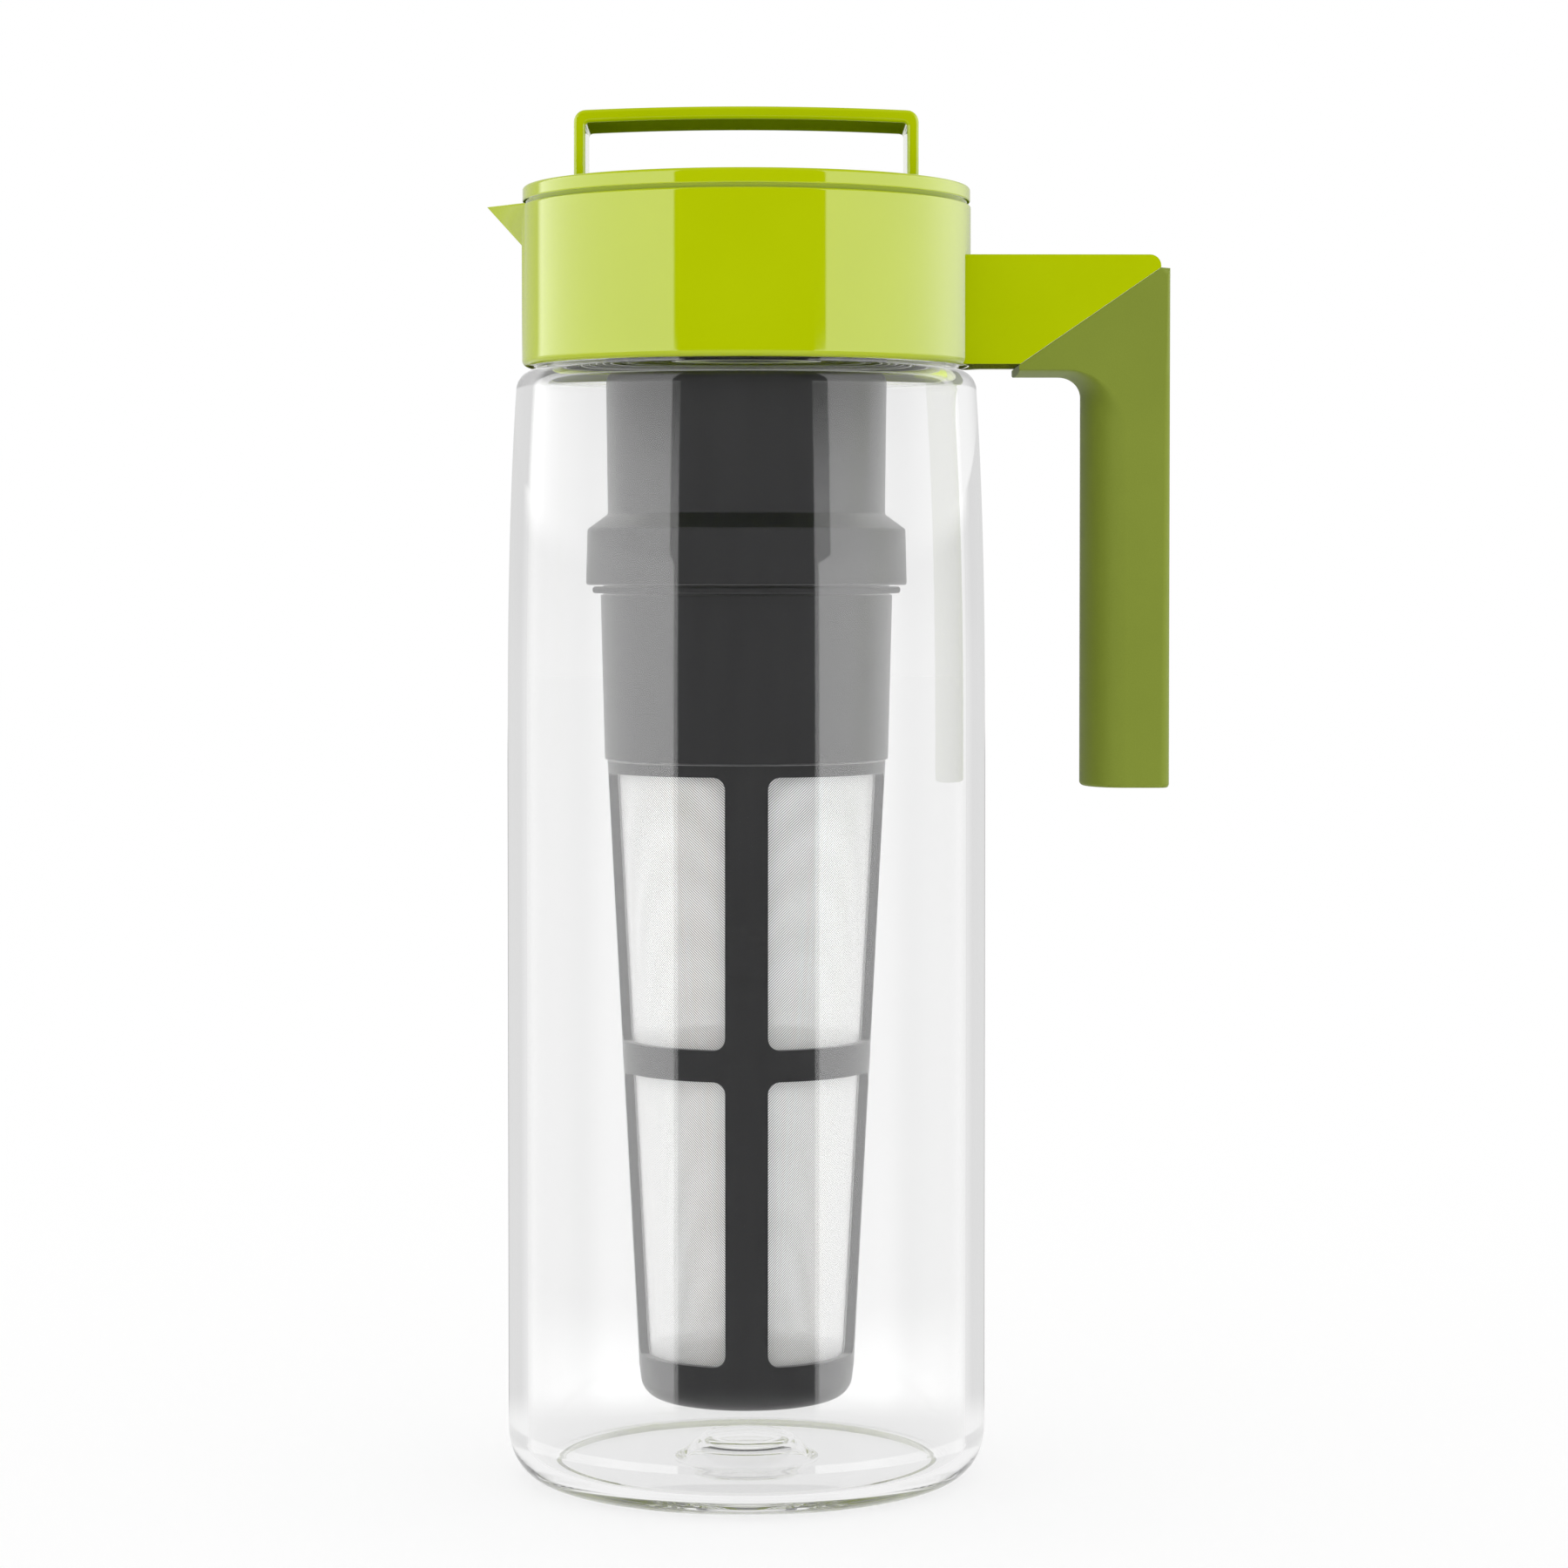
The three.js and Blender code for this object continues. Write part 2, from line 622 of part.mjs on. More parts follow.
function infuserTube() {
  const spigotTop = plateUnder - SPIGOT_END_GAP - tubeShoulder;
  const tubeLow = tubeRadius - TUBE_TAPER;
  const flareTop = -TUBE_LENGTH - FLARE_SLOPE;
  const roof = flareTop - FLARE_ROOF;
  return turned([
    [flareBore, flareBottom],
    [flareRadius, flareBottom],
    [flareRadius - FLARE_DRAFT, flareTop],
    [tubeLow, -TUBE_LENGTH],
    [tubeRadius, 0],
    [tubeSpigot, 0],
    [tubeSpigot, spigotTop],
    [tubeSpigot - TUBE_WALL, spigotTop],
    [tubeSpigot - TUBE_WALL, -TUBE_WALL],
    [tubeLow - TUBE_WALL, -TUBE_LENGTH],
    [tubeLow - TUBE_WALL, roof],
    [flareBore, roof],
  ]);
}

// Seal under the flare, above its own lower face
function basketSeal() {
  const rounding = [BEAD_ROUNDING, BEAD_ROUNDING];
  const roundX = beadRadius - BEAD_ROUNDING;
  return turned([
    [sleeveSpigot + FIT_GAP, 0],
    ...arc([roundX, BEAD_ROUNDING], rounding, -90, 0, BEAD_STEPS),
    ...arc([roundX, BEAD_HEIGHT - BEAD_ROUNDING], rounding, 0, 90, BEAD_STEPS),
    [sleeveSpigot + FIT_GAP, BEAD_HEIGHT],
  ]);
}

// Basket, above the seam between its sleeve and its frame

function basketSleeve() {
  const roof = -TUBE_LENGTH - FLARE_SLOPE - FLARE_ROOF - frameSeam;
  const shoulder = sleeveShoulder - frameSeam;
  return turned([
    [sleeveBore, 0],
    [sleeveLow, 0],
    [sleeveRadius, shoulder],
    [sleeveSpigot, shoulder],
    [sleeveSpigot, roof - SPIGOT_END_GAP],
    [sleeveBore, roof - SPIGOT_END_GAP],
  ]);
}

function frameRadius(height) {
  return frameTopRadius + FRAME_TAPER * height / -cupBottom;
}

// One window of the frame in the quarter between two posts, with rounded corners along both posts
function windowCut(top, height) {
  const near = POST_WIDTH / 2;
  const far = sleeveRadius + CUT_MARGIN;
  const corner = [WINDOW_CORNER, WINDOW_CORNER];
  const bottom = top - height;
  const opening = [
    [far, bottom],
    [far, top],
    ...arc([near + WINDOW_CORNER, top - WINDOW_CORNER], corner, 90, 180),
    ...arc([near + WINDOW_CORNER, bottom + WINDOW_CORNER], corner, 180, 270),
  ];
  const alongX = sidePlate(opening, 2 * far);
  const alongY = alongX.clone().rotateZ(Math.PI / 2);
  return solidOf(alongX).intersect(solidOf(alongY));
}

function basketFrame() {
  const spigotOuter = sleeveBore - FIT_GAP;
  const lowRadius = frameRadius(cupBottom);
  const innerFloor = cupBottom + CUP_FLOOR;
  const body = turned([
    [0, cupBottom],
    ...arc([lowRadius - CUP_ROUNDING, cupBottom + CUP_ROUNDING], [CUP_ROUNDING, CUP_ROUNDING], -90, 0),
    [frameRadius(-FIT_GAP), -FIT_GAP],
    [spigotOuter, -FIT_GAP],
    [spigotOuter, FRAME_SPIGOT_RISE],
    [spigotOuter - FRAME_SPIGOT_WALL, FRAME_SPIGOT_RISE],
    [spigotOuter - FRAME_SPIGOT_WALL, -FIT_GAP],
    [frameRadius(-FIT_GAP - MESH_LAP) - FRAME_WALL, -FIT_GAP - MESH_LAP],
    [frameRadius(cupBottom + CUP_ROUNDING) - FRAME_WALL, cupBottom + CUP_ROUNDING],
    [lowRadius - CUP_ROUNDING, innerFloor],
    [0, innerFloor],
  ]);
  let frame = solidOf(body);
  for (const [top, height] of [[upperWindowTop, UPPER_WINDOW], [lowerWindowTop, lowerWindowTop - cupTop]]) {
    for (const turn of [0, 90, 180, 270]) {
      frame = frame.subtract(windowCut(top, height).rotate([0, 0, turn]));
    }
  }
  return geometryOf(frame);
}

// The woven sleeve against the inside of the frame, as a plain thin cone
function basketMesh() {
  const top = upperWindowTop + MESH_LAP / 2;
  const bottom = cupTop - MESH_LAP;
  const outer = (height) => frameRadius(height) - FRAME_WALL - FIT_GAP;
  return turned([
    [outer(bottom) - MESH_THICKNESS, bottom],
    [outer(bottom), bottom],
    [outer(top), top],
    [outer(top) - MESH_THICKNESS, top],
  ]);
}

// Materials: colour, roughness, metalness and opacity

function finish(color, roughness, opacity = 1) {
  const transparent = opacity < 1;
  return new THREE.MeshStandardMaterial({ color, roughness, metalness: 0, opacity, transparent });
}

const clearPlastic = () => finish('#eef2f2', 0.05, 0.25);
const limePlastic = () => finish('#b5c600', 0.2);
const softTouch = () => finish('#828f35', 0.6);
const darkPlastic = () => finish('#3a3a3a', 0.35);
const darkSilicone = () => finish('#2e2e2e', 0.5);
const paleSilicone = () => finish('#d8d8d2', 0.5);
const wovenMesh = () => finish('#dcdcda', 0.7);

// Assembly

function piece(name, geometry, material) {
  geometry.computeVertexNormals();
  const mesh = new THREE.Mesh(geometry, material);
  mesh.name = name;
  return mesh;
}

function at(height, ...members) {
  const group = new THREE.Group();
  group.position.z = height;
  group.add(...members);
  return group;
}

const basket = at(
  frameSeam,
  piece('basket_sleeve', basketSleeve(), darkPlastic()),
  piece('basket_frame', basketFrame(), darkPlastic()),
  piece('basket_mesh', basketMesh(), wovenMesh()),
);

const infuser = at(
  tubeShoulder,
  piece('infuser_tube', infuserTube(), darkPlastic()),
  piece('tube_seal', tubeSeal(), paleSilicone()),
  at(sleeveShoulder + FIT_GAP, piece('basket_seal', basketSeal(), darkSilicone())),
  basket,
);

const lid = at(
  lidSeat,
  piece('lid_cap', lidCap(), limePlastic()),
  piece('lid_strap', lidStrap(), limePlastic()),
  piece('lid_plug', lidPlug(), limePlastic()),
  piece('lid_seal', lidSeal(), paleSilicone()),
  infuser,
);

const collar = at(
  collarBottom,
  piece('spout_collar', spoutCollar(), limePlastic()),
  at(
    ARM_RAISE,
    piece('handle_arm', handleArm(), limePlastic()),
    piece('handle_grip', handleGrip(), softTouch()),
  ),
);

const pitcher = new THREE.Group();
pitcher.add(
  piece('jar', jar(), clearPlastic()),
  piece('neck_seal', neckSeal(), paleSilicone()),
  collar,
  lid,
);

// The origin lies under the middle of the whole outline, not under the jar's axis
pitcher.position.x = (SPOUT_REACH - HANDLE_REACH) / 2;

export default pitcher;
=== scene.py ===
# %% [markdown]
# # An iced tea pitcher, piece by piece
# The pitcher is a clear jar with a lime pouring collar, a side handle, a lid with a carrying strap
# and a dark infuser that hangs inside. A packed working model gives every piece its place and its
# motion. This lesson loads that model as a frame, then makes a finer piece for each of its nodes
# and gives it a finish.

# %% Load the frame
import json
import math

import bmesh
import bpy
from mathutils import Matrix, Vector


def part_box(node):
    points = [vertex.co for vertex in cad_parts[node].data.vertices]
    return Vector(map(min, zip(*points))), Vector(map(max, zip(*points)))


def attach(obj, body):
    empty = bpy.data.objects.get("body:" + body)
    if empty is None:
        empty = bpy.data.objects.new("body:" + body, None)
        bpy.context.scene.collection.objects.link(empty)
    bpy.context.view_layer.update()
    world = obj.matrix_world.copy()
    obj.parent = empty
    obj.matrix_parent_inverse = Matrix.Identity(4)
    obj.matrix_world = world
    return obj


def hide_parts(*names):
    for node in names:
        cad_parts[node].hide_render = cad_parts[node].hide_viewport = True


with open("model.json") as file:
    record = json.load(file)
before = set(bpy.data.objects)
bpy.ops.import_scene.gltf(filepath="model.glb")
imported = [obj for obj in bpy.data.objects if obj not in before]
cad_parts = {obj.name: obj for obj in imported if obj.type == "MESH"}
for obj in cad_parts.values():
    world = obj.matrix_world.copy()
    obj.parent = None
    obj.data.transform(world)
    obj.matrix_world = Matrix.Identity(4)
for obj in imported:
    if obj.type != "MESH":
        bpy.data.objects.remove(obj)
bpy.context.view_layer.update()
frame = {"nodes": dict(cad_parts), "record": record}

print("the frame's nodes:", ", ".join(sorted(frame["nodes"])))

# %% [markdown]
# ## Units and the jar's axis
# Nearly every piece is round about the jar's upright axis. So the pieces are drawn in millimetres
# about that axis, and one matrix takes them to the frame's metres at the end. Each object then
# stays at the origin, unturned, with its place in its mesh, which keeps patterns on Object
# coordinates where they belong.

# %% Units
MM = 0.001
jar_low, jar_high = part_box("jar")
JAR_AXIS = Vector(((jar_low.x + jar_high.x) / 2, 0, 0))
TO_FRAME = Matrix.Translation(JAR_AXIS) @ Matrix.Scale(MM, 4)


def heights(node):
    """Lowest and highest point of a node of the frame, in millimetres."""
    low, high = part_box(node)
    return low.z / MM, high.z / MM


print("the jar's axis stands at x =", round(JAR_AXIS.x / MM, 3), "mm")

# %% [markdown]
# ## Outlines with rounded corners
# Moulded plastic has no knife edges. An outline here is a list of corners, each with its own
# rounding, and this helper replaces a rounded corner by a short arc. A Bevel modifier could do the
# same after the turning, but a radius that is written beside its corner is easier to read and to
# change.

# %% Rounded outlines
ARC_STEPS = 6


def arc(centre, reach, start, end, steps):
    """Points of an elliptic arc between two angles in degrees, with both ends."""
    turns = [math.radians(start + (end - start) * i / steps) for i in range(steps + 1)]
    (x, y), (wide, high) = centre, reach
    return [Vector((x + wide * math.cos(t), y + high * math.sin(t))) for t in turns]


def rounded(corners):
    """Points of a closed outline. A corner is (x, y), or (x, y, rounding)."""
    points = []
    for i, (x, y, *rounding) in enumerate(corners):
        here = Vector((x, y))
        if not rounding:
            points.append(here)
            continue
        before = (Vector(corners[i - 1][:2]) - here).normalized()
        after = (Vector(corners[(i + 1) % len(corners)][:2]) - here).normalized()
        half = before.angle(after) / 2
        radius = rounding[0]
        centre = here + (before + after).normalized() * radius / math.sin(half)
        start = here + before * radius / math.tan(half) - centre
        end = here + after * radius / math.tan(half) - centre
        from_turn = math.atan2(start.y, start.x)
        sweep = (math.atan2(end.y, end.x) - from_turn + math.pi) % math.tau - math.pi
        reach = (radius, radius)
        from_degrees, to_degrees = math.degrees(from_turn), math.degrees(from_turn + sweep)
        points += arc(centre, reach, from_degrees, to_degrees, ARC_STEPS)
    return points


print("a rounded square has", len(rounded([(0, 0, 1), (9, 0, 1), (9, 9, 1), (0, 9, 1)])), "points")

# %% [markdown]
# ## From modifiers to a plain mesh
# Modifiers are a comfortable way to turn, cut and bevel, but a piece that is handed on should be a
# plain mesh. This helper takes the evaluated result, welds it, turns all faces outwards and marks
# as sharp only the edges that really are. The Weighted Normal modifier keeps a wide wall flat in
# the reflections beside a small rounded edge.

# %% Plain meshes
WELD = 0.0005
SHARP_DEGREES = 32


def new_piece(name, points, edges=(), faces=()):
    mesh = bpy.data.meshes.new(name)
    mesh.from_pydata(points, edges, faces)
    piece = bpy.data.objects.new(name, mesh)
    bpy.context.scene.collection.objects.link(piece)
    return piece


def plain(piece):
    """The piece with its modifiers replaced by the mesh that they give."""
    bpy.context.view_layer.update()
    evaluated = piece.evaluated_get(bpy.context.evaluated_depsgraph_get())
    mesh = bpy.data.meshes.new_from_object(evaluated)
    piece.modifiers.clear()
    piece.data = mesh
    return piece


def settled(piece):
    """The piece as a plain, welded and smooth mesh, in which wide faces set the shading."""
    mesh = plain(piece).data
    shell = bmesh.new()
    shell.from_mesh(mesh)
    bmesh.ops.remove_doubles(shell, verts=shell.verts, dist=WELD)
    bmesh.ops.dissolve_degenerate(shell, edges=shell.edges, dist=WELD)
    bmesh.ops.recalc_face_normals(shell, faces=shell.faces)
    shell.to_mesh(mesh)
    shell.free()
    mesh.polygons.foreach_set("use_smooth", [True] * len(mesh.polygons))
    mesh.set_sharp_from_angle(angle=math.radians(SHARP_DEGREES))
    piece.modifiers.new("weigh", "WEIGHTED_NORMAL").keep_sharp = True
    return plain(piece)


def bevelled(piece, width, segments, limit, degrees=30):
    """The piece with soft edges: those sharper than an angle, or each by its weight."""
    bevel = piece.modifiers.new("edge", "BEVEL")
    bevel.width, bevel.segments, bevel.limit_method = width, segments, limit
    bevel.angle_limit = math.radians(degrees)
    return settled(piece)


def combined(piece, tool, operation):
    """Joins a tool to a piece or cuts it away, and removes the tool."""
    cut = piece.modifiers.new("combine", "BOOLEAN")
    cut.operation, cut.object, cut.solver = operation, tool, "EXACT"
    settled(piece)
    bpy.data.objects.remove(tool)
    return piece


print("meshes are welded at", WELD, "mm")

# %% [markdown]
# ## Turned pieces
# The jar, the collar, the seals and the infuser are all bodies of revolution. The Screw modifier
# with no rise spins an outline of edges about Z, as a lathe does. A cylinder with loop cuts would
# also work, but an outline keeps every radius and height of the real wall, inside and outside, in
# one list.

# %% Turning
TURN_FACETS = 160


def turned(name, points):
    """Spins a closed outline of (radius, height) points about the jar's axis."""
    count = len(points)
    on_axis = [p[0] < WELD for p in points]
    pairs = [(i, (i + 1) % count) for i in range(count)]
    edges = [(i, j) for i, j in pairs if not (on_axis[i] and on_axis[j])]
    piece = new_piece(name, [(p[0], 0, p[1]) for p in points], edges)
    spin = piece.modifiers.new("turn", "SCREW")
    spin.steps = spin.render_steps = TURN_FACETS
    spin.use_merge_vertices = True
    spin.merge_threshold = WELD
    return settled(piece)


print("turned pieces have", TURN_FACETS, "facets")

# %% [markdown]
# ## Shader maths as Python
# A finish is a small node tree. Two helper classes keep it readable: Wire is one output socket that
# Python's operators can work with, and Bench is a tree with one method that adds any node. Sums of
# plain numbers stay in Python, and what is the same all over a surface is set on the shader itself.

# %% Wires and benches


class Wire:
    """An output socket of a node, for sums such as 1 - mask."""

    def __init__(self, bench, socket):
        self.bench, self.socket = bench, socket

    def beside(self, name):
        """Another output of the same node."""
        return Wire(self.bench, self.socket.node.outputs[name])

    def __add__(self, other):
        return self.bench.maths("ADD", self, other)

    def __sub__(self, other):
        return self.bench.maths("SUBTRACT", self, other)

    def __rsub__(self, other):
        return self.bench.maths("SUBTRACT", other, self)

    def __mul__(self, other):
        return self.bench.maths("MULTIPLY", self, other)

    def __abs__(self):
        return self.bench.maths("ABSOLUTE", self)

    __radd__ = __add__
    __rmul__ = __mul__


class Bench:
    """A node tree that grows node by node."""

    def __init__(self, tree):
        self.tree = tree

    def node(self, kind, settings=None, sockets=None, output=0):
        """Adds a node: first its settings, then the values or wires of its sockets."""
        made = self.tree.nodes.new(kind)
        for name, value in (settings or {}).items():
            setattr(made, name, value)
        for key, value in (sockets or {}).items():
            self.feed(made.inputs[key], value)
        return Wire(self, made.outputs[output]) if made.outputs else made

    def feed(self, socket, value):
        if isinstance(value, Wire):
            self.tree.links.new(value.socket, socket)
        else:
            socket.default_value = value

    def maths(self, operation, *values):
        return self.node("ShaderNodeMath", {"operation": operation}, dict(enumerate(values)))

    def mixed(self, share, one, other):
        return self.node("ShaderNodeMix", {"data_type": "RGBA"}, {0: share, 6: one, 7: other}, 2)

    def eased(self, value, start, end):
        """0 before start, 1 after end and a smooth step between them."""
        return self.node("ShaderNodeMapRange", {"interpolation_type": "SMOOTHSTEP"},
                         {"Value": value, "From Min": start, "From Max": end})

    def once(self, depth):
        """1 for paths that have met a kind of surface at all, from their count of such meetings."""
        return self.maths("MINIMUM", depth, 1)


class Finish(Bench):
    """A material with its Principled shader at hand."""

    def __init__(self, name):
        self.material = bpy.data.materials.new(name)
        self.material.use_nodes = True
        super().__init__(self.material.node_tree)
        self.shader = self.tree.nodes["Principled BSDF"]
        self.place = self.node("ShaderNodeTexCoord", output="Object")

    def set(self, sockets):
        for name, value in sockets.items():
            self.feed(self.shader.inputs[name], value)

    def cloud(self, size, detail=2.0):
        """Noise about 0.5 whose patches have a size in millimetres."""
        return self.node("ShaderNodeTexNoise", None, {
            "Vector": self.place, "Scale": 1 / (size * MM), "Detail": detail})

    def raised(self, height, depth, strength=1.0):
        """Relief whose full height is a depth in millimetres."""
        self.set({"Normal": self.node("ShaderNodeBump", None, {
            "Height": height, "Distance": depth * MM, "Strength": strength})})


def tone(red, green, blue):
    """A colour chart's values, 0 to 255, as the linear colour that shaders work in."""
    def linear(value):
        share = value / 255
        return share / 12.92 if share <= 0.04045 else ((share + 0.055) / 1.055) ** 2.4
    return (linear(red), linear(green), linear(blue), 1)


print("mid grey is", round(tone(128, 128, 128)[0], 3), "in linear light")

# %% [markdown]
# ## Clear plastic
# The jar is moulded from a clear, glass-like plastic. A wall of real thickness with full
# transmission bends light as the real one does, and shows its rim, shoulder and base as bright and
# dark lines. A see-through Alpha would be quicker but flat. Moulded walls are never perfect, so a
# faint tint varies over the surface. Relief and roughness are left out: even a little of them would
# break up the crisp reflections in a wall as polished as this.

# %% Clear plastic
clear_plastic = Finish("clear_plastic")
tint = clear_plastic.cloud(35)
clear_plastic.set({
    "Base Color": clear_plastic.mixed(tint, tone(253, 253, 253), tone(255, 255, 255)),
    "Roughness": 0.0,
    "IOR": 1.46,
    "Transmission Weight": 1.0,
})
print("finish:", clear_plastic.material.name)

# %% [markdown]
# ## Lime gloss plastic
# Collar, arm, lid and strap are one glossy lime plastic. Its gloss is nearly a mirror, so the
# studio shows in it as bands with crisp edges. A little mottling in the colour, a roughness that
# varies, and a very shallow orange-peel relief keep it from looking like a computer's perfect
# surface.

# %% Lime gloss plastic
lime_gloss = Finish("lime_gloss")
mottle = lime_gloss.cloud(18)
lime_gloss.set({
    "Base Color": lime_gloss.mixed(mottle, tone(181, 198, 0), tone(186, 203, 4)),
    "Roughness": 0.03 + mottle * 0.03,
    "IOR": 1.5,
})
lime_gloss.raised(lime_gloss.cloud(6, 1.0), 0.004, 0.4)
print("finish:", lime_gloss.material.name)

# %% [markdown]
# ## Soft-touch grip
# The grip is an olive rubber-like coat with a fine grain. Soft touch means rough and dull, with a
# little sheen at the edges. The grain is noise at about a third of a millimetre, as relief and as a
# slight speckle.

# %% Soft touch
soft_touch = Finish("soft_touch")
grain = soft_touch.cloud(0.3, 1.0)
patch = soft_touch.cloud(22)
speckle = grain * 0.5 + patch * 0.5
soft_touch.set({
    "Base Color": soft_touch.mixed(speckle, tone(122, 137, 38), tone(136, 151, 50)),
    "Roughness": 0.5 + patch * 0.12,
    "Specular IOR Level": 0.25,
    "Sheen Weight": 0.04,
})
soft_touch.raised(grain, 0.03, 0.5)
print("finish:", soft_touch.material.name)

# %% [markdown]
# ## Dark infuser plastic
# The tube, the sleeve and the frame are a dark grey plastic with a satin gloss. Faint upright flow
# marks are noise that is stretched along Z by a Mapping node.

# %% Dark plastic
FLOW_SCALE, FLOW_STRETCH = 220, 0.08
dark_plastic = Finish("dark_plastic")
flow_place = dark_plastic.node("ShaderNodeMapping", None, {
    "Vector": dark_plastic.place, "Scale": (1, 1, FLOW_STRETCH)})
flow = dark_plastic.node("ShaderNodeTexNoise", None, {
    "Vector": flow_place, "Scale": FLOW_SCALE, "Detail": 2})
dark_plastic.set({
    "Base Color": dark_plastic.mixed(flow, tone(34, 34, 35), tone(46, 46, 47)),
    "Roughness": 0.3 + flow * 0.1,
    "IOR": 1.46,
})
dark_plastic.raised(dark_plastic.cloud(0.6, 1.0), 0.004, 0.2)
print("finish:", dark_plastic.material.name)

# %% [markdown]
# ## Silicone
# The seals are soft silicone, pale in the lid and on the neck and dark under the flare. One
# function makes both, because they differ in colour alone.

# %% Silicone


def silicone(name, deep, light):
    finish = Finish(name)
    dust = finish.cloud(2.5)
    finish.set({"Base Color": finish.mixed(dust, deep, light), "Roughness": 0.45 + dust * 0.15})
    finish.raised(finish.cloud(0.5, 1.0), 0.01, 0.4)
    return finish


pale_silicone = silicone("pale_silicone", tone(206, 206, 200), tone(222, 222, 217))
dark_silicone = silicone("dark_silicone", tone(40, 40, 41), tone(52, 52, 53))
print("finishes:", pale_silicone.material.name, "and", dark_silicone.material.name)

# %% [markdown]
# ## Fitting a piece into the frame
# Each finished piece takes the place of one node. The frame's own record says which body the node
# moves with, so that is looked up there instead of being typed again. The clear wall would show
# crowded mirror images of the pieces round it, so most pieces are left out of mirrors: Blender
# calls that the ray visibility of glossy paths.

# %% Fitting
record = frame["record"]
BODY_OF = {node: body for body, nodes in record["behaviour"]["bodies"].items() for node in nodes}


def fitted(piece, node, finish, in_mirrors=True):
    """Puts a piece in a node's place, on its body, with a finish."""
    piece.data.transform(TO_FRAME)
    piece.data.materials.clear()
    piece.data.materials.append(finish.material)
    piece.visible_glossy = in_mirrors
    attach(piece, BODY_OF[node])
    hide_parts(node)
    print(f"{piece.name}: {len(piece.data.polygons)} faces, rides on {BODY_OF[node]}")
    return piece


# %% [markdown]
# ## The jar
# The jar's outline goes from the middle of its raised base out to the foot ring, up the wall, which
# barrels in a little below the shoulder, over the shoulder to the neck, and back down on the
# inside. The barrel and the raised base are curves by formula, the rest are corners.

# %% Jar
JAR_RADIUS, JAR_WALL = 52.6, 4.2
BARREL_START, SHOULDER_START, SHOULDER_TOP = 155, 238.8, 243.4
BARREL_POWER, SHOULDER_INSET, INNER_SHOULDER_RISE = 2.7, 2.0, 2.3
SHOULDER_RADIUS = JAR_RADIUS - SHOULDER_INSET
NECK_RADIUS, NECK_BORE, NECK_TOP = 46.2, 43.9, heights("jar")[1]
SNAP_BOTTOM, SNAP_LAND, SNAP_END = NECK_TOP - 9.8, NECK_TOP - 9.2, NECK_TOP - 6.8
SNAP_DEPTH = 1.0
SNAP_RADIUS = NECK_RADIUS + SNAP_DEPTH
FOOT_OUTER, FOOT_INNER, FOOT_DEPTH, FOOT_SLOPE = 44.4, 42.0, 1.7, 0.8
FLOOR_TOP, BASE_CORNER, INNER_CORNER = 4.0, (8.2, 10.8), (4.6, 5.6)
PUNT_RADIUS, PUNT_TOP_RADIUS, PUNT_TOP = 16, 8.7, 8.7
CURVE_STEPS = 16


def barrel(inset):
    """The wall between its straight part and the shoulder, going up."""
    points = []
    for i in range(CURVE_STEPS):
        share = i / CURVE_STEPS
        height = BARREL_START + (SHOULDER_START - BARREL_START) * share
        points.append((JAR_RADIUS - SHOULDER_INSET * share ** BARREL_POWER - inset, height))
    return points


def raised_base(start, end):
    """An S-shaped rise between two points of the base."""
    points = []
    for i in range(CURVE_STEPS + 1):
        share = i / CURVE_STEPS
        rise = (1 - math.cos(math.pi * share)) / 2
        points.append((start[0] + (end[0] - start[0]) * share,
                       start[1] + (end[1] - start[1]) * rise))
    return points


punt_under = PUNT_TOP - (FLOOR_TOP - FOOT_DEPTH)
outer_shoulder = (SHOULDER_RADIUS - NECK_RADIUS, SHOULDER_TOP - SHOULDER_START)
inner_shoulder = (SHOULDER_RADIUS - JAR_WALL - NECK_BORE, INNER_SHOULDER_RISE)
inner_base = (JAR_RADIUS - JAR_WALL - INNER_CORNER[0], FLOOR_TOP + INNER_CORNER[1])
jar_outline = [
    (0, punt_under),
    *raised_base((PUNT_TOP_RADIUS, punt_under), (PUNT_RADIUS, FOOT_DEPTH)),
    *rounded([
        (PUNT_RADIUS, FOOT_DEPTH),
        (FOOT_INNER - FOOT_SLOPE, FOOT_DEPTH, 0.5),
        (FOOT_INNER, 0, 0.4),
        (FOOT_OUTER, 0),
    ])[1:-1],
    *arc((FOOT_OUTER, BASE_CORNER[1]), BASE_CORNER, -90, 0, CURVE_STEPS),
    *barrel(0),
    *arc((NECK_RADIUS, SHOULDER_START), outer_shoulder, 0, 90, CURVE_STEPS),
    *rounded([
        (NECK_RADIUS, SHOULDER_TOP),
        (NECK_RADIUS, SNAP_BOTTOM, 0.3),
        (SNAP_RADIUS, SNAP_BOTTOM, 0.2),
        (SNAP_RADIUS, SNAP_LAND, 0.2),
        (NECK_RADIUS, SNAP_END, 0.3),
        (NECK_RADIUS, NECK_TOP, 0.8),
        (NECK_BORE, NECK_TOP, 0.8),
        (NECK_BORE, SHOULDER_TOP),
    ])[1:-1],
    *arc((NECK_BORE, SHOULDER_START), inner_shoulder, 90, 0, CURVE_STEPS),
    *reversed(barrel(JAR_WALL)),
    *arc(inner_base, INNER_CORNER, 0, -90, CURVE_STEPS),
    *raised_base((PUNT_RADIUS, FLOOR_TOP), (PUNT_TOP_RADIUS, PUNT_TOP)),
    (0, PUNT_TOP),
]
fitted(turned("clear_jar", jar_outline), "jar", clear_plastic)

# %% [markdown]
# ## Plain seals
# A flat ring lies between the jar's rim and the collar. Its corners are soft, as on all moulded
# silicone, and the same little function makes the ring in the lid and the one above the infuser
# tube.

# %% Plain seals
LID_SEAL_BORE, LID_SEAL_RADIUS = 38.6, 40.2
TUBE_SEAL_BORE, TUBE_SEAL_RADIUS = 29.7, 31.1


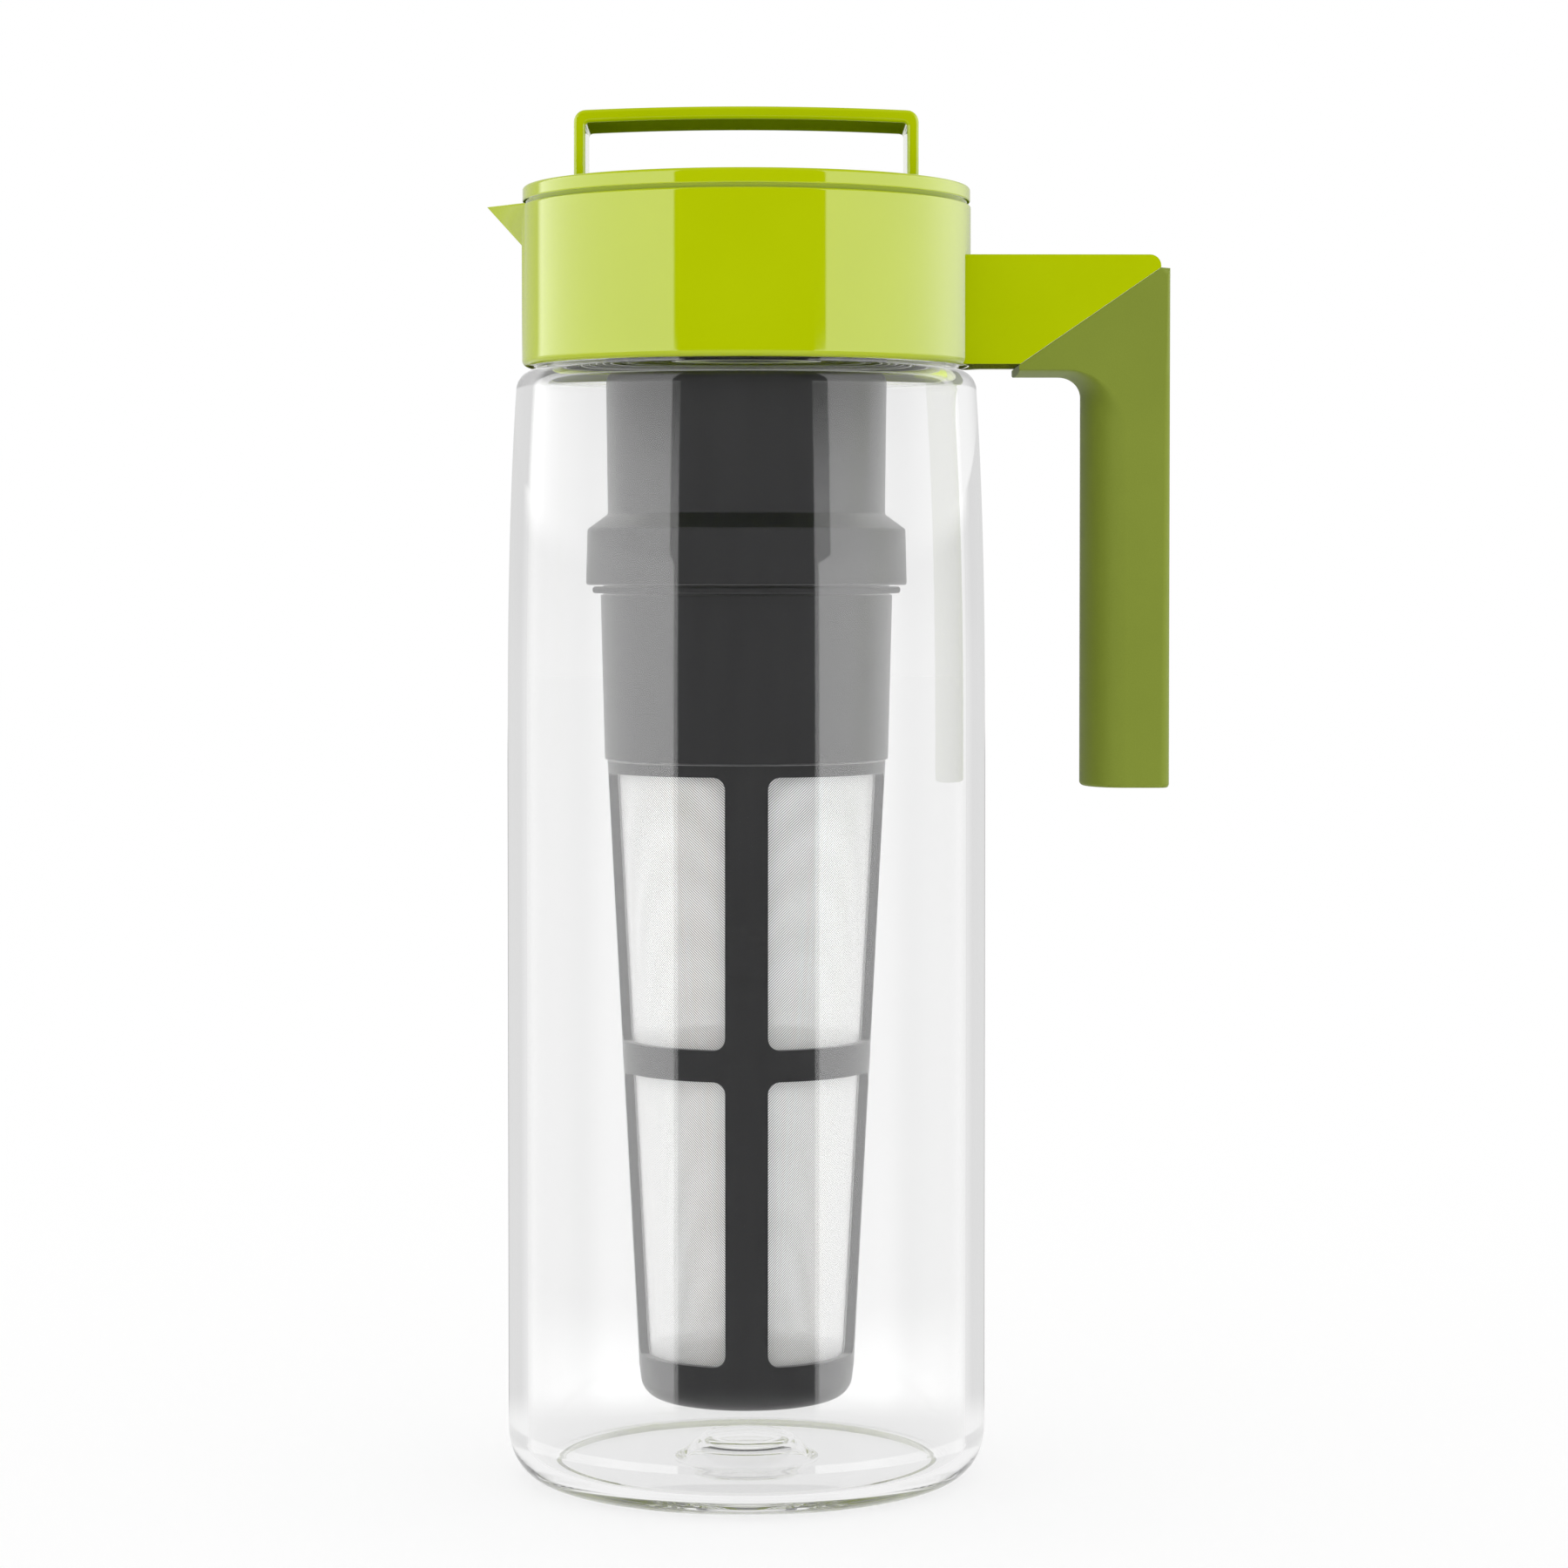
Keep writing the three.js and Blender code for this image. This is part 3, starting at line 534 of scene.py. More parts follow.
def seal(name, node, inner, outer, rounding, in_mirrors=True):
    bottom, top = heights(node)
    corners = [(inner, bottom), (outer, bottom), (outer, top), (inner, top)]
    ring = turned(name, rounded([(*corner, rounding) for corner in corners]))
    fitted(ring, node, pale_silicone, in_mirrors)


seal("neck_gasket", "neck_seal", NECK_BORE, NECK_RADIUS, 0.4, in_mirrors=False)
seal("lid_gasket", "lid_seal", LID_SEAL_BORE, LID_SEAL_RADIUS, 0.5)
seal("tube_gasket", "tube_seal", TUBE_SEAL_BORE, TUBE_SEAL_RADIUS, 0.35)

# %% [markdown]
# ## The pouring collar
# The collar is a turned ring with a shelf and a lip inside, and a three-sided beak stands out of it
# as the spout. The beak is the convex hull of four points, joined on with a Boolean, and a smaller
# hull cuts the pouring channel through it. The beak gets a small Bevel first, so its ridges catch
# the light.

# %% Collar
COLLAR_RADIUS, COLLAR_BORE = 49.3, 46.5
COLLAR_BOTTOM, COLLAR_TOP = heights("spout_collar")
SHELF_TOP, SHELF_UNDER = COLLAR_TOP - 10.2, COLLAR_TOP - 12.6
LIP_BORE, LIP_OUTER, LIP_BOTTOM = 40.5, 43.6, COLLAR_TOP - 24.6
SPOUT_REACH, SPOUT_WIDTH_SLOPE, SPOUT_DROP_SLOPE = 57.1, 1.239, 1.103
SPOUT_WALL, SPOUT_EDGE, SPOUT_SINK = 1.9, 0.25, 1.4
CHANNEL_SINK, CHANNEL_RISE, SNAP_PLAY = 0.4, 1, 0.3


def hull(name, points):
    piece = new_piece(name, points)
    shell = bmesh.new()
    shell.from_mesh(piece.data)
    bmesh.ops.convex_hull(shell, input=shell.verts)
    shell.to_mesh(piece.data)
    shell.free()
    return settled(piece)


def beak(name, tip, root, open_above=0):
    """A beak whose tip lies a distance from the axis, level with the collar's top."""
    run = tip - root
    top = [(-tip, 0), (-root, run * SPOUT_WIDTH_SLOPE), (-root, -run * SPOUT_WIDTH_SLOPE)]
    points = [(x, y, COLLAR_TOP) for x, y in top]
    if open_above:
        points += [(x, y, COLLAR_TOP + open_above) for x, y in top]
    return hull(name, [*points, (-root, 0, COLLAR_TOP - run * SPOUT_DROP_SLOPE)])


collar = turned("pouring_collar", rounded([
    (COLLAR_BORE, COLLAR_BOTTOM, 0.3),
    (COLLAR_RADIUS, COLLAR_BOTTOM, 1.4),
    (COLLAR_RADIUS, COLLAR_TOP, 0.5),
    (COLLAR_BORE, COLLAR_TOP, 0.4),
    (COLLAR_BORE, SHELF_TOP, 0.6),
    (LIP_BORE, SHELF_TOP, 0.5),
    (LIP_BORE, LIP_BOTTOM, 0.4),
    (LIP_OUTER, LIP_BOTTOM, 0.4),
    (LIP_OUTER, SHELF_UNDER, 0.3),
    (COLLAR_BORE, SHELF_UNDER, 0.3),
    (COLLAR_BORE, SNAP_END + SNAP_PLAY, 0.3),
    (COLLAR_BORE + SNAP_DEPTH, SNAP_LAND + SNAP_PLAY, 0.3),
    (COLLAR_BORE + SNAP_DEPTH, SNAP_BOTTOM - SNAP_PLAY, 0.3),
    (COLLAR_BORE, SNAP_BOTTOM - SNAP_PLAY, 0.3),
]))
spout = beak("spout", SPOUT_REACH, COLLAR_RADIUS - SPOUT_SINK)
combined(collar, bevelled(spout, SPOUT_EDGE, 3, "ANGLE"), "UNION")
channel = beak("channel", SPOUT_REACH - SPOUT_WALL, COLLAR_BORE - CHANNEL_SINK, CHANNEL_RISE)
combined(collar, channel, "DIFFERENCE")
fitted(collar, "spout_collar", lime_gloss, in_mirrors=False)

# %% [markdown]
# ## The handle's arm
# The arm is a flat bracket whose root follows the round collar and whose far end is cut at a slant
# for the grip. A plain extrusion can't follow the collar, so the outline is repeated in slices
# across the arm, and the points of the root move along the collar's circle from slice to slice. A
# loft joins the slices: quads between each section and the next, and one face at each end. A Bevel
# softens the edges, each by its own weight.

# %% Arm
HANDLE_HALF = 13.5
ARM_BOTTOM, ARM_TOP, ARM_REACH = 244.2, 267.9, 90.0
ARM_CORNER, ARM_EDGE, ARM_GAP = 2.4, 0.8, 0.02
ROOT_SINK, ROOT_MARGIN, JOIN_DROP, JOIN_SOFTNESS = 0.4, 0.5, 0.2, 0.15
GRIP_START, GRIP_TOP, HANDLE_REACH = 59.2, 265.1, 92.15
JOIN_LOW = Vector((GRIP_START, ARM_BOTTOM - JOIN_DROP))
JOIN_HIGH = Vector((ARM_REACH - ARM_GAP, GRIP_TOP))
SLICES = 12


def lofted(name, sections, ends=True):
    """A skin of quads from section to section, with a face at each end or left open there."""
    count, last = len(sections[0]), len(sections) - 1
    faces = [tuple(range(s * count, (s + 1) * count)) for s in (0, last)] if ends else []
    for s in range(last):
        for i in range(count):
            j = (i + 1) % count
            low, high = s * count, (s + 1) * count
            faces.append((low + i, low + j, high + j, high + i))
    return settled(new_piece(name, [p for section in sections for p in section], faces=faces))


def slab(name, outline, half, edge, root=None, softness=None):
    """An outline in X and Z repeated in slices across Y. Points on X = 0 follow a root, and
    softness gives each edge of the outline its share of the rounding."""
    slices = []
    for y in (half * (2 * i / SLICES - 1) for i in range(SLICES + 1)):
        slices.append([(root(y) if root and x == 0 else x, y, z) for x, z in outline])
    piece = lofted(name, slices)
    shares = []
    for line in piece.data.edges:
        one, other = (piece.data.vertices[v].co for v in line.vertices)
        on_face = abs(one.y) > half - WELD and abs(one.y - other.y) < WELD
        middle = (one + other) / 2
        shares.append((softness(middle.x, middle.z) if softness else 1.0) if on_face else 0.0)
    weights = piece.data.attributes.new("bevel_weight_edge", "FLOAT", "EDGE")
    weights.data.foreach_set("value", shares)
    return bevelled(piece, edge, 4, "WEIGHT")


join_way = (JOIN_HIGH - JOIN_LOW).normalized()
lift = Vector((-join_way.y, join_way.x)) * ARM_GAP
slant_start = JOIN_LOW + lift + join_way * (ARM_BOTTOM - JOIN_LOW.y - lift.y) / join_way.y
arm_outline = rounded([
    (0, ARM_BOTTOM),
    tuple(slant_start),
    tuple(JOIN_HIGH + lift),
    (ARM_REACH, GRIP_TOP + ARM_GAP),
    (ARM_REACH, ARM_TOP, ARM_CORNER),
    (0, ARM_TOP),
])


def collar_face(y):
    return math.sqrt((COLLAR_RADIUS - ROOT_SINK) ** 2 - y ** 2)


def arm_softness(x, z):
    """Full rounding all round, but little at the slanting joint and none at the root."""
    if x < collar_face(HANDLE_HALF) + ROOT_MARGIN:
        return 0.0
    off_joint = (Vector((x, z)) - JOIN_LOW).dot(lift.normalized())
    return JOIN_SOFTNESS if abs(off_joint) < 2 * ARM_GAP else 1.0


arm = slab("arm_bracket", arm_outline, HANDLE_HALF, ARM_EDGE, collar_face, arm_softness)
fitted(arm, "handle_arm", lime_gloss, in_mirrors=False)

# %% [markdown]
# ## The soft grip
# The grip hangs from the arm like the long leg of an L. Seen from above, each section has flat
# sides that end in a rounded back, and half an ellipse towards the jar. Going up, the sections turn
# under the arm and end along the slanting joint. A loft through such sections gives the crease that
# curves round the corner, which a bevelled box can't.

# %% Grip
GRIP_INNER, GRIP_CREASE = 73.5, 82.75
GRIP_UNDER, GRIP_BOTTOM = ARM_BOTTOM - 2.15, heights("handle_grip")[0]
INNER_FILLET, CREASE_FILLET, CREASE_LIFT = 4.6, 13, 0.9
BACK_EDGE, JOIN_EDGE, END_EDGE, JOIN_SHARE = 2.3, 0.2, 0.9, 0.8
TURN_STEPS, SIDE_STEPS = 24, 28


def grip_section(inner, crease, outer, edge):
    """One closed section from the inner, crease and outer points, given as (x, z)."""
    back, side, front = Vector(outer), Vector(crease), Vector(inner)
    inward = (side - back).normalized()
    edge = min(edge, (side - back).length / 2)
    points = []
    for sign, turns in ((1, range(ARC_STEPS + 1)), (-1, range(ARC_STEPS, -1, -1))):
        if sign < 0:
            for i in range(SIDE_STEPS + 1):
                t = math.pi * i / SIDE_STEPS
                place = side.lerp(front, math.sin(t))
                points.append((place.x, HANDLE_HALF * math.cos(t), place.y))
        for i in turns:
            t = math.pi / 2 * i / ARC_STEPS
            place = back + inward * edge * (1 - math.cos(t))
            points.append((place.x, sign * (HANDLE_HALF - edge * (1 - math.sin(t))), place.y))
    return points


def shrunk(section, inset, drop):
    """A section drawn in towards its middle and lowered, for a rounded end."""
    middle = sum((Vector(p) for p in section), Vector()) / len(section)
    points = []
    for p in section:
        away = Vector(p) - middle
        points.append(tuple(middle + away * (1 - inset / away.length) - Vector((0, 0, drop))))
    return points


def along(corners, count):
    """Points spread over a polyline in proportion to its length, with its corners kept."""
    lengths = [(Vector(b) - Vector(a)).length for a, b in zip(corners, corners[1:])]
    shares = [max(1, round(count * length / sum(lengths))) for length in lengths]
    shares[-1] += count - sum(shares)
    points = []
    for (a, b), steps in zip(zip(corners, corners[1:]), shares):
        points += [Vector(a).lerp(Vector(b), i / steps) for i in range(steps)]
    return [*points, Vector(corners[-1])]


inner_turn = arc((GRIP_INNER - INNER_FILLET, GRIP_UNDER - INNER_FILLET),
                 (INNER_FILLET, INNER_FILLET), 0, 90, TURN_STEPS)
crease_turn = arc((GRIP_CREASE - CREASE_FILLET, GRIP_UNDER - CREASE_FILLET),
                  (CREASE_FILLET, CREASE_FILLET + CREASE_LIFT), 0, 90, TURN_STEPS)
outer_turn = along([(HANDLE_REACH, GRIP_UNDER), (HANDLE_REACH, GRIP_TOP), JOIN_HIGH,
                    JOIN_HIGH.lerp(JOIN_LOW, JOIN_SHARE)], TURN_STEPS)

foot_z = GRIP_BOTTOM + END_EDGE
foot = grip_section((GRIP_INNER, foot_z), (GRIP_CREASE, foot_z), (HANDLE_REACH, foot_z), BACK_EDGE)
grip_sections = []
for i in range(ARC_STEPS):
    t = math.pi / 2 * i / ARC_STEPS
    grip_sections.append(shrunk(foot, END_EDGE * (1 - math.sin(t)), END_EDGE * math.cos(t)))
grip_sections.append(foot)
for inner, crease, outer in zip(inner_turn, crease_turn, outer_turn):
    edge = BACK_EDGE if outer.x > ARM_REACH else JOIN_EDGE
    grip_sections.append(grip_section(inner, crease, outer, edge))
grip_sections.append(grip_section((GRIP_START, GRIP_UNDER), (GRIP_START, GRIP_UNDER + CREASE_LIFT),
                                  JOIN_LOW, JOIN_EDGE))
fitted(lofted("soft_grip", grip_sections), "handle_grip", soft_touch, in_mirrors=False)

# %% [markdown]
# ## The lid
# The lid is a thin disc with a soft upper edge. It floats just above the collar, which leaves the
# dark seam. The strap over it is a bar with two legs, slightly crowned along its length, made with
# the same slices as the arm.

# %% Lid disc and strap
LID_RADIUS = 49.15
LID_BOTTOM, LID_TOP = heights("lid_cap")
STEP_RADIUS, STEP_DEPTH, STEP_SLOPE = 47.8, 0.85, 0.6
lid_disc = turned("lid_disc", rounded([
    (0, LID_BOTTOM - STEP_DEPTH),
    (STEP_RADIUS, LID_BOTTOM - STEP_DEPTH, 0.1),
    (STEP_RADIUS + STEP_SLOPE, LID_BOTTOM, 0.1),
    (LID_RADIUS, LID_BOTTOM, 0.3),
    (LID_RADIUS, LID_TOP, 0.8),
    (0, LID_TOP),
]))
fitted(lid_disc, "lid_cap", lime_gloss)

STRAP_HALF, STRAP_LEG, STRAP_BAR, STRAP_DEPTH = 37.4, 2.5, 2.7, 25
STRAP_CROWN, STRAP_CORNER, STRAP_INNER_CORNER = 0.8, 2.6, 1.0
STRAP_EDGE, STRAP_SINK = 0.8, 0.6
strap_top = heights("lid_strap")[1] - STRAP_CROWN
strap_inner = STRAP_HALF - STRAP_LEG
strap_foot = LID_TOP - STRAP_SINK


def crowned(half, height):
    """The bar's line between its two corners, from right to left."""
    ends = [half * (1 - i / CURVE_STEPS) for i in range(2 * CURVE_STEPS + 1)]
    return [(x, height + STRAP_CROWN * (1 - (x / half) ** 2)) for x in ends]


outer_bend, inner_bend = STRAP_HALF - STRAP_CORNER, strap_inner - STRAP_INNER_CORNER
bar_under = strap_top - STRAP_BAR
outer_reach, inner_reach = (STRAP_CORNER,) * 2, (STRAP_INNER_CORNER,) * 2
strap_outline = [
    (STRAP_HALF, strap_foot),
    *arc((outer_bend, strap_top - STRAP_CORNER), outer_reach, 0, 90, ARC_STEPS)[:-1],
    *crowned(outer_bend, strap_top),
    *arc((-outer_bend, strap_top - STRAP_CORNER), outer_reach, 90, 180, ARC_STEPS)[1:],
    (-STRAP_HALF, strap_foot),
    (-strap_inner, strap_foot),
    *arc((-inner_bend, bar_under - STRAP_INNER_CORNER), inner_reach, 180, 90, ARC_STEPS)[:-1],
    *reversed(crowned(inner_bend, bar_under)),
    *arc((inner_bend, bar_under - STRAP_INNER_CORNER), inner_reach, 90, 0, ARC_STEPS)[1:],
    (strap_inner, strap_foot),
]
strap = slab("carry_strap", strap_outline, STRAP_DEPTH / 2, STRAP_EDGE)
fitted(strap, "lid_strap", lime_gloss)

# %% [markdown]
# ## The lid's skirt
# Under the disc a skirt goes down into the collar. It carries the seal in a groove, has a port on
# one side that meets the spout when the lid is turned, and holds the socket for the infuser. It is
# turned like the rest, and a Boolean cuts the port.

# %% Skirt
SKIRT_BOTTOM, SKIRT_TOP = heights("lid_plug")
SKIRT_OUTER, SKIRT_INNER, SOCKET_OUTER, SOCKET_BORE = 40.1, 36.8, 32.0, 29.8
PLATE_UNDER = SKIRT_TOP - 2.2
SOCKET_BOTTOM = PLATE_UNDER - 14.6
GROOVE_FLOOR, GROOVE_PLAY = 38.3, 0.3
seal_bottom, seal_top = heights("lid_seal")
GROOVE_BOTTOM, GROOVE_TOP = seal_bottom - GROOVE_PLAY, seal_top + GROOVE_PLAY
PORT_HALF, PORT_BOTTOM = 12, SHELF_TOP + 1.5
PORT_START, PORT_END = SOCKET_OUTER + 0.4, SKIRT_OUTER + 1
skirt = turned("lid_skirt", rounded([
    (0, PLATE_UNDER),
    (SOCKET_BORE, PLATE_UNDER, 0.4),
    (SOCKET_BORE, SOCKET_BOTTOM, 0.5),
    (SOCKET_OUTER, SOCKET_BOTTOM, 0.5),
    (SOCKET_OUTER, PLATE_UNDER, 0.8),
    (SKIRT_INNER, PLATE_UNDER, 0.8),
    (SKIRT_INNER, SKIRT_BOTTOM, 0.6),
    (SKIRT_OUTER, SKIRT_BOTTOM, 0.6),
    (SKIRT_OUTER, GROOVE_BOTTOM, 0.2),
    (GROOVE_FLOOR, GROOVE_BOTTOM, 0.2),
    (GROOVE_FLOOR, GROOVE_TOP, 0.2),
    (SKIRT_OUTER, GROOVE_TOP, 0.2),
    (SKIRT_OUTER, SKIRT_TOP, 0.3),
    (0, SKIRT_TOP),
]))
port = hull("port", [(x, y, z) for x in (-PORT_HALF, PORT_HALF) for y in (PORT_START, PORT_END)
                     for z in (PORT_BOTTOM, PLATE_UNDER)])
fitted(combined(skirt, port, "DIFFERENCE"), "lid_plug", lime_gloss, in_mirrors=False)

# %% [markdown]
# ## Tube, bead and sleeve of the infuser
# The infuser hangs from the lid: a tube with a flared socket at its lower end, a bead of dark
# silicone, and a sleeve that tapers towards the basket. All three are turned. Their outer corners
# are small, but each of them draws a line of light in the real one.

# %% Tube, bead and sleeve
TUBE_BOTTOM, TUBE_TOP = heights("infuser_tube")
TUBE_SHOULDER, TUBE_WALL = 261.4, 2.0
TUBE_RADIUS, TUBE_LOW, SPIGOT_RADIUS = 31.1, 30.5, 29.4
FLARE_RADIUS, FLARE_BORE, FLARE_TOP, FLARE_NECK = 35.3, 31.9, 208.4, 211.7
FLARE_DRAFT, FLARE_ROOF = 0.3, 206.4
steeping_tube = turned("steeping_tube", rounded([
    (FLARE_BORE, TUBE_BOTTOM, 0.3),
    (FLARE_RADIUS, TUBE_BOTTOM, 0.6),
    (FLARE_RADIUS - FLARE_DRAFT, FLARE_TOP, 0.7),
    (TUBE_LOW, FLARE_NECK, 0.7),
    (TUBE_RADIUS, TUBE_SHOULDER, 0.4),
    (SPIGOT_RADIUS, TUBE_SHOULDER, 0.3),
    (SPIGOT_RADIUS, TUBE_TOP, 0.4),
    (SPIGOT_RADIUS - TUBE_WALL, TUBE_TOP, 0.4),
    (SPIGOT_RADIUS - TUBE_WALL, TUBE_SHOULDER - TUBE_WALL),
    (TUBE_LOW - TUBE_WALL, FLARE_NECK),
    (TUBE_LOW - TUBE_WALL, FLARE_ROOF, 0.3),
    (FLARE_BORE, FLARE_ROOF, 0.4),
]))
fitted(steeping_tube, "infuser_tube", dark_plastic, in_mirrors=False)

BEAD_BOTTOM, BEAD_TOP = heights("basket_seal")
BEAD_RADIUS, BEAD_BORE, BEAD_ROUNDING = 33.9, 31.8, 0.7
bead = turned("bead_gasket", rounded([
    (BEAD_BORE, BEAD_BOTTOM, 0.2),
    (BEAD_RADIUS, BEAD_BOTTOM, BEAD_ROUNDING),
    (BEAD_RADIUS, BEAD_TOP, BEAD_ROUNDING),
    (BEAD_BORE, BEAD_TOP, 0.2),
]))
fitted(bead, "basket_seal", dark_silicone, in_mirrors=False)

SLEEVE_BOTTOM, SLEEVE_TOP = heights("basket_sleeve")
SLEEVE_SHOULDER, SLEEVE_RADIUS, SLEEVE_LOW = 194.1, 32.1, 31.2
SLEEVE_BORE, SLEEVE_SPIGOT = 29.2, 31.5
tea_sleeve = turned("tea_sleeve", rounded([
    (SLEEVE_BORE, SLEEVE_BOTTOM, 0.2),
    (SLEEVE_LOW, SLEEVE_BOTTOM, 0.35),
    (SLEEVE_RADIUS, SLEEVE_SHOULDER, 0.25),
    (SLEEVE_SPIGOT, SLEEVE_SHOULDER, 0.2),
    (SLEEVE_SPIGOT, SLEEVE_TOP, 0.4),
    (SLEEVE_BORE, SLEEVE_TOP, 0.4),
]))
fitted(tea_sleeve, "basket_sleeve", dark_plastic, in_mirrors=False)

# %% [markdown]
# ## A tree that repeats round the axis
# The basket's frame shows the same quarter four times. Geometry Nodes are the natural tool: the
# tree below puts a copy of its object's mesh on each of a number of points, turns each copy a
# little further, makes the copies real, welds them and sets the material. The number of copies is
# an input of the tree.

# %% Repeating tree
REPEAT_WELD = 10 * WELD
repeat = bpy.data.node_groups.new("repeat_round_axis", "GeometryNodeTree")
inputs = {name: repeat.interface.new_socket(name, in_out="INPUT", socket_type="NodeSocket" + kind)
          for name, kind in (("Geometry", "Geometry"), ("Copies", "Int"), ("Weld", "Float"),
                             ("Finish", "Material"))}
repeat.interface.new_socket("Geometry", in_out="OUTPUT", socket_type="NodeSocketGeometry")
tree = Bench(repeat)
given = tree.node("NodeGroupInput")
number = given.beside("Copies")
spots = tree.node("GeometryNodeMeshLine", None, {"Count": number, "Offset": (0, 0, 0)})
angle = tree.node("GeometryNodeInputIndex") * tree.maths("DIVIDE", math.tau, number)
facing = tree.node("ShaderNodeCombineXYZ", None, {"Z": angle})
copies = tree.node("GeometryNodeInstanceOnPoints", None, {
    "Points": spots, "Instance": given.beside("Geometry"), "Rotation": facing})
real = tree.node("GeometryNodeRealizeInstances", None, {"Geometry": copies})
welded = tree.node("GeometryNodeMergeByDistance", None, {
    "Geometry": real, "Distance": given.beside("Weld")})
dressed = tree.node("GeometryNodeSetMaterial", None, {
    "Geometry": welded, "Material": given.beside("Finish")})
tree.node("NodeGroupOutput", None, {"Geometry": dressed})


def repeated(piece, count, finish):
    """The piece's mesh repeated round the axis by the tree."""
    ring = piece.modifiers.new("repeat", "NODES")
    ring.node_group = repeat
    values = {"Copies": count, "Weld": REPEAT_WELD, "Finish": finish.material}
    for name, value in values.items():
        ring[inputs[name].identifier] = value
    return settled(piece)


print("the tree", repeat.name, "has", len(repeat.nodes), "nodes")

# %% [markdown]
# ## One quarter of the basket's frame
# The frame is a cone with two rows of windows between four posts, a ring half way and a closed cup.
# A quarter runs from the middle of one post to the middle of the next. Round each window the skin
# is a band of quads between the window's rounded edge and the border of its cell, so the mesh has
# no cut and no stray point. The same band at a smaller radius is the inside, and strips join the
# two along the windows.

# %% Frame sizes
FRAME_FOOT, FRAME_TOP = heights("basket_frame")
FRAME_SEAM, FRAME_RADIUS, FRAME_TAPER, FRAME_WALL = 158.0, 30.7, 7.3, 2.0
FRAME_EDGE = FRAME_SEAM - 0.3
WINDOWS = [(96.4, 155.1), (27.4, 89.5)]
POST_HALF, WINDOW_CORNER = 4.6, 2.6
CUP_ROUNDING, CUP_FLOOR, CUP_MIDDLE = 4.6, 2.2, 1
SPIGOT_OUTER, SPIGOT_BORE = 28.9, 27.6
CORNER_STEPS, SILL_STEPS, JAMB_STEPS = 8, 12, 14
QUARTERS, QUARTER = 4, math.pi / 2


def frame_radius(z):
    return FRAME_RADIUS - FRAME_TAPER * (FRAME_SEAM - z) / (FRAME_SEAM - FRAME_FOOT)


def post_angle(width, z):
    """The angle from a post's middle at which a point lies that far to its side."""
    return math.asin(width / frame_radius(z))


# Angles of the grid lines between two posts: two corners and the sill between them
mid_z = sum(WINDOWS[0]) / 2
corner_angle = post_angle(POST_HALF + WINDOW_CORNER, mid_z)
half_corner = CORNER_STEPS // 2
left_lines = [corner_angle * i / half_corner for i in range(half_corner)]
sill_angle = QUARTER - 2 * corner_angle
sill_lines = [corner_angle + sill_angle * i / SILL_STEPS for i in range(SILL_STEPS + 1)]
grid_lines = left_lines + sill_lines + [QUARTER - a for a in reversed(left_lines)]
print(len(grid_lines), "grid lines in a quarter of the frame")

# %% [markdown]
# The window's edge and the border of its cell are walked together, starting high on the left post
# and going down, so that every point of one has its partner on the other. The right half mirrors
# the left.

# %% Window cells


def jamb_heights(bottom, top):
    """Heights down a post, between the roundings of its window."""
    start, end = top - WINDOW_CORNER, bottom + WINDOW_CORNER
    return [start + (end - start) * i / JAMB_STEPS for i in range(JAMB_STEPS + 1)]


def window_corner(start, way):
    """The rounding of a window, up or down from a height on its left post."""
    points = []
    for i in range(1, CORNER_STEPS + 1):
        t = QUARTER * i / CORNER_STEPS
        z = start + way * WINDOW_CORNER * math.sin(t)
        points.append((post_angle(POST_HALF + WINDOW_CORNER * (1 - math.cos(t)), z), z))
    return points


def cell_corner(start, end):
    """The border beside that rounding, along the post and then along the cell's own edge."""
    post = [(0, start + (end - start) * i / half_corner) for i in range(1, half_corner + 1)]
    return post + [(a, end) for a in (*left_lines[1:], sill_lines[0])]


def whole_loop(left_low, left_high, low, high):
    """A closed loop, anticlockwise, from its left half as (angle, height)."""
    sill = [(a, low) for a in sill_lines[1:-1]]
    right_low = [(QUARTER - a, z) for a, z in reversed(left_low)]
    right_high = [(QUARTER - a, z) for a, z in left_high]
    head = [(a, high) for a in reversed(sill_lines[1:-1])]
    return left_low + sill + right_low + right_high + head + left_high[::-1]


def window_loop(bottom, top):
    """The rounded edge of a window."""
    jamb = [(post_angle(POST_HALF, z), z) for z in jamb_heights(bottom, top)]
    left_low = jamb + window_corner(bottom + WINDOW_CORNER, -1)
    return whole_loop(left_low, window_corner(top - WINDOW_CORNER, 1), bottom, top)


def cell_loop(bottom, top, low, high):
    """The border of a window's cell, point by point beside the window's edge."""
    jamb = [(0, z) for z in jamb_heights(bottom, top)]
    left_low = jamb + cell_corner(bottom + WINDOW_CORNER, low)
    return whole_loop(left_low, cell_corner(top - WINDOW_CORNER, high), low, high)


middle_line = (WINDOWS[0][0] + WINDOWS[1][1]) / 2
cup_top = WINDOWS[1][0] - WINDOW_CORNER
cells = [(*WINDOWS[0], middle_line, FRAME_EDGE), (*WINDOWS[1], cup_top, middle_line)]
for cell in cells:
    print(len(window_loop(*cell[:2])), "points on a window,", len(cell_loop(*cell)), "on its cell")

# %% [markdown]
# Below the windows the cup closes the cone, and above them a thin spigot goes up into the sleeve.
# Both follow the same grid lines, so the quarter is one closed skin, open only where it meets its
# neighbours.

# %% Quarter of the frame
quarter = bmesh.new()


def skin_point(angle, z, radius):
    return quarter.verts.new((radius * math.cos(angle), radius * math.sin(angle), z))


def strip(one, other):
    """Quads between two rows of points."""
    for i in range(len(one) - 1):
        quarter.faces.new([one[i], one[i + 1], other[i + 1], other[i]])


for bottom, top, low, high in cells:
    rims = []
    for inset in (0, FRAME_WALL):
        loops = [[skin_point(a, z, frame_radius(z) - inset) for a, z in loop]
                 for loop in (window_loop(bottom, top), cell_loop(bottom, top, low, high))]
        rim, border = ([*loop, loop[0]] for loop in loops)
        strip(rim, border)
        rims.append(rim)
    strip(*rims)

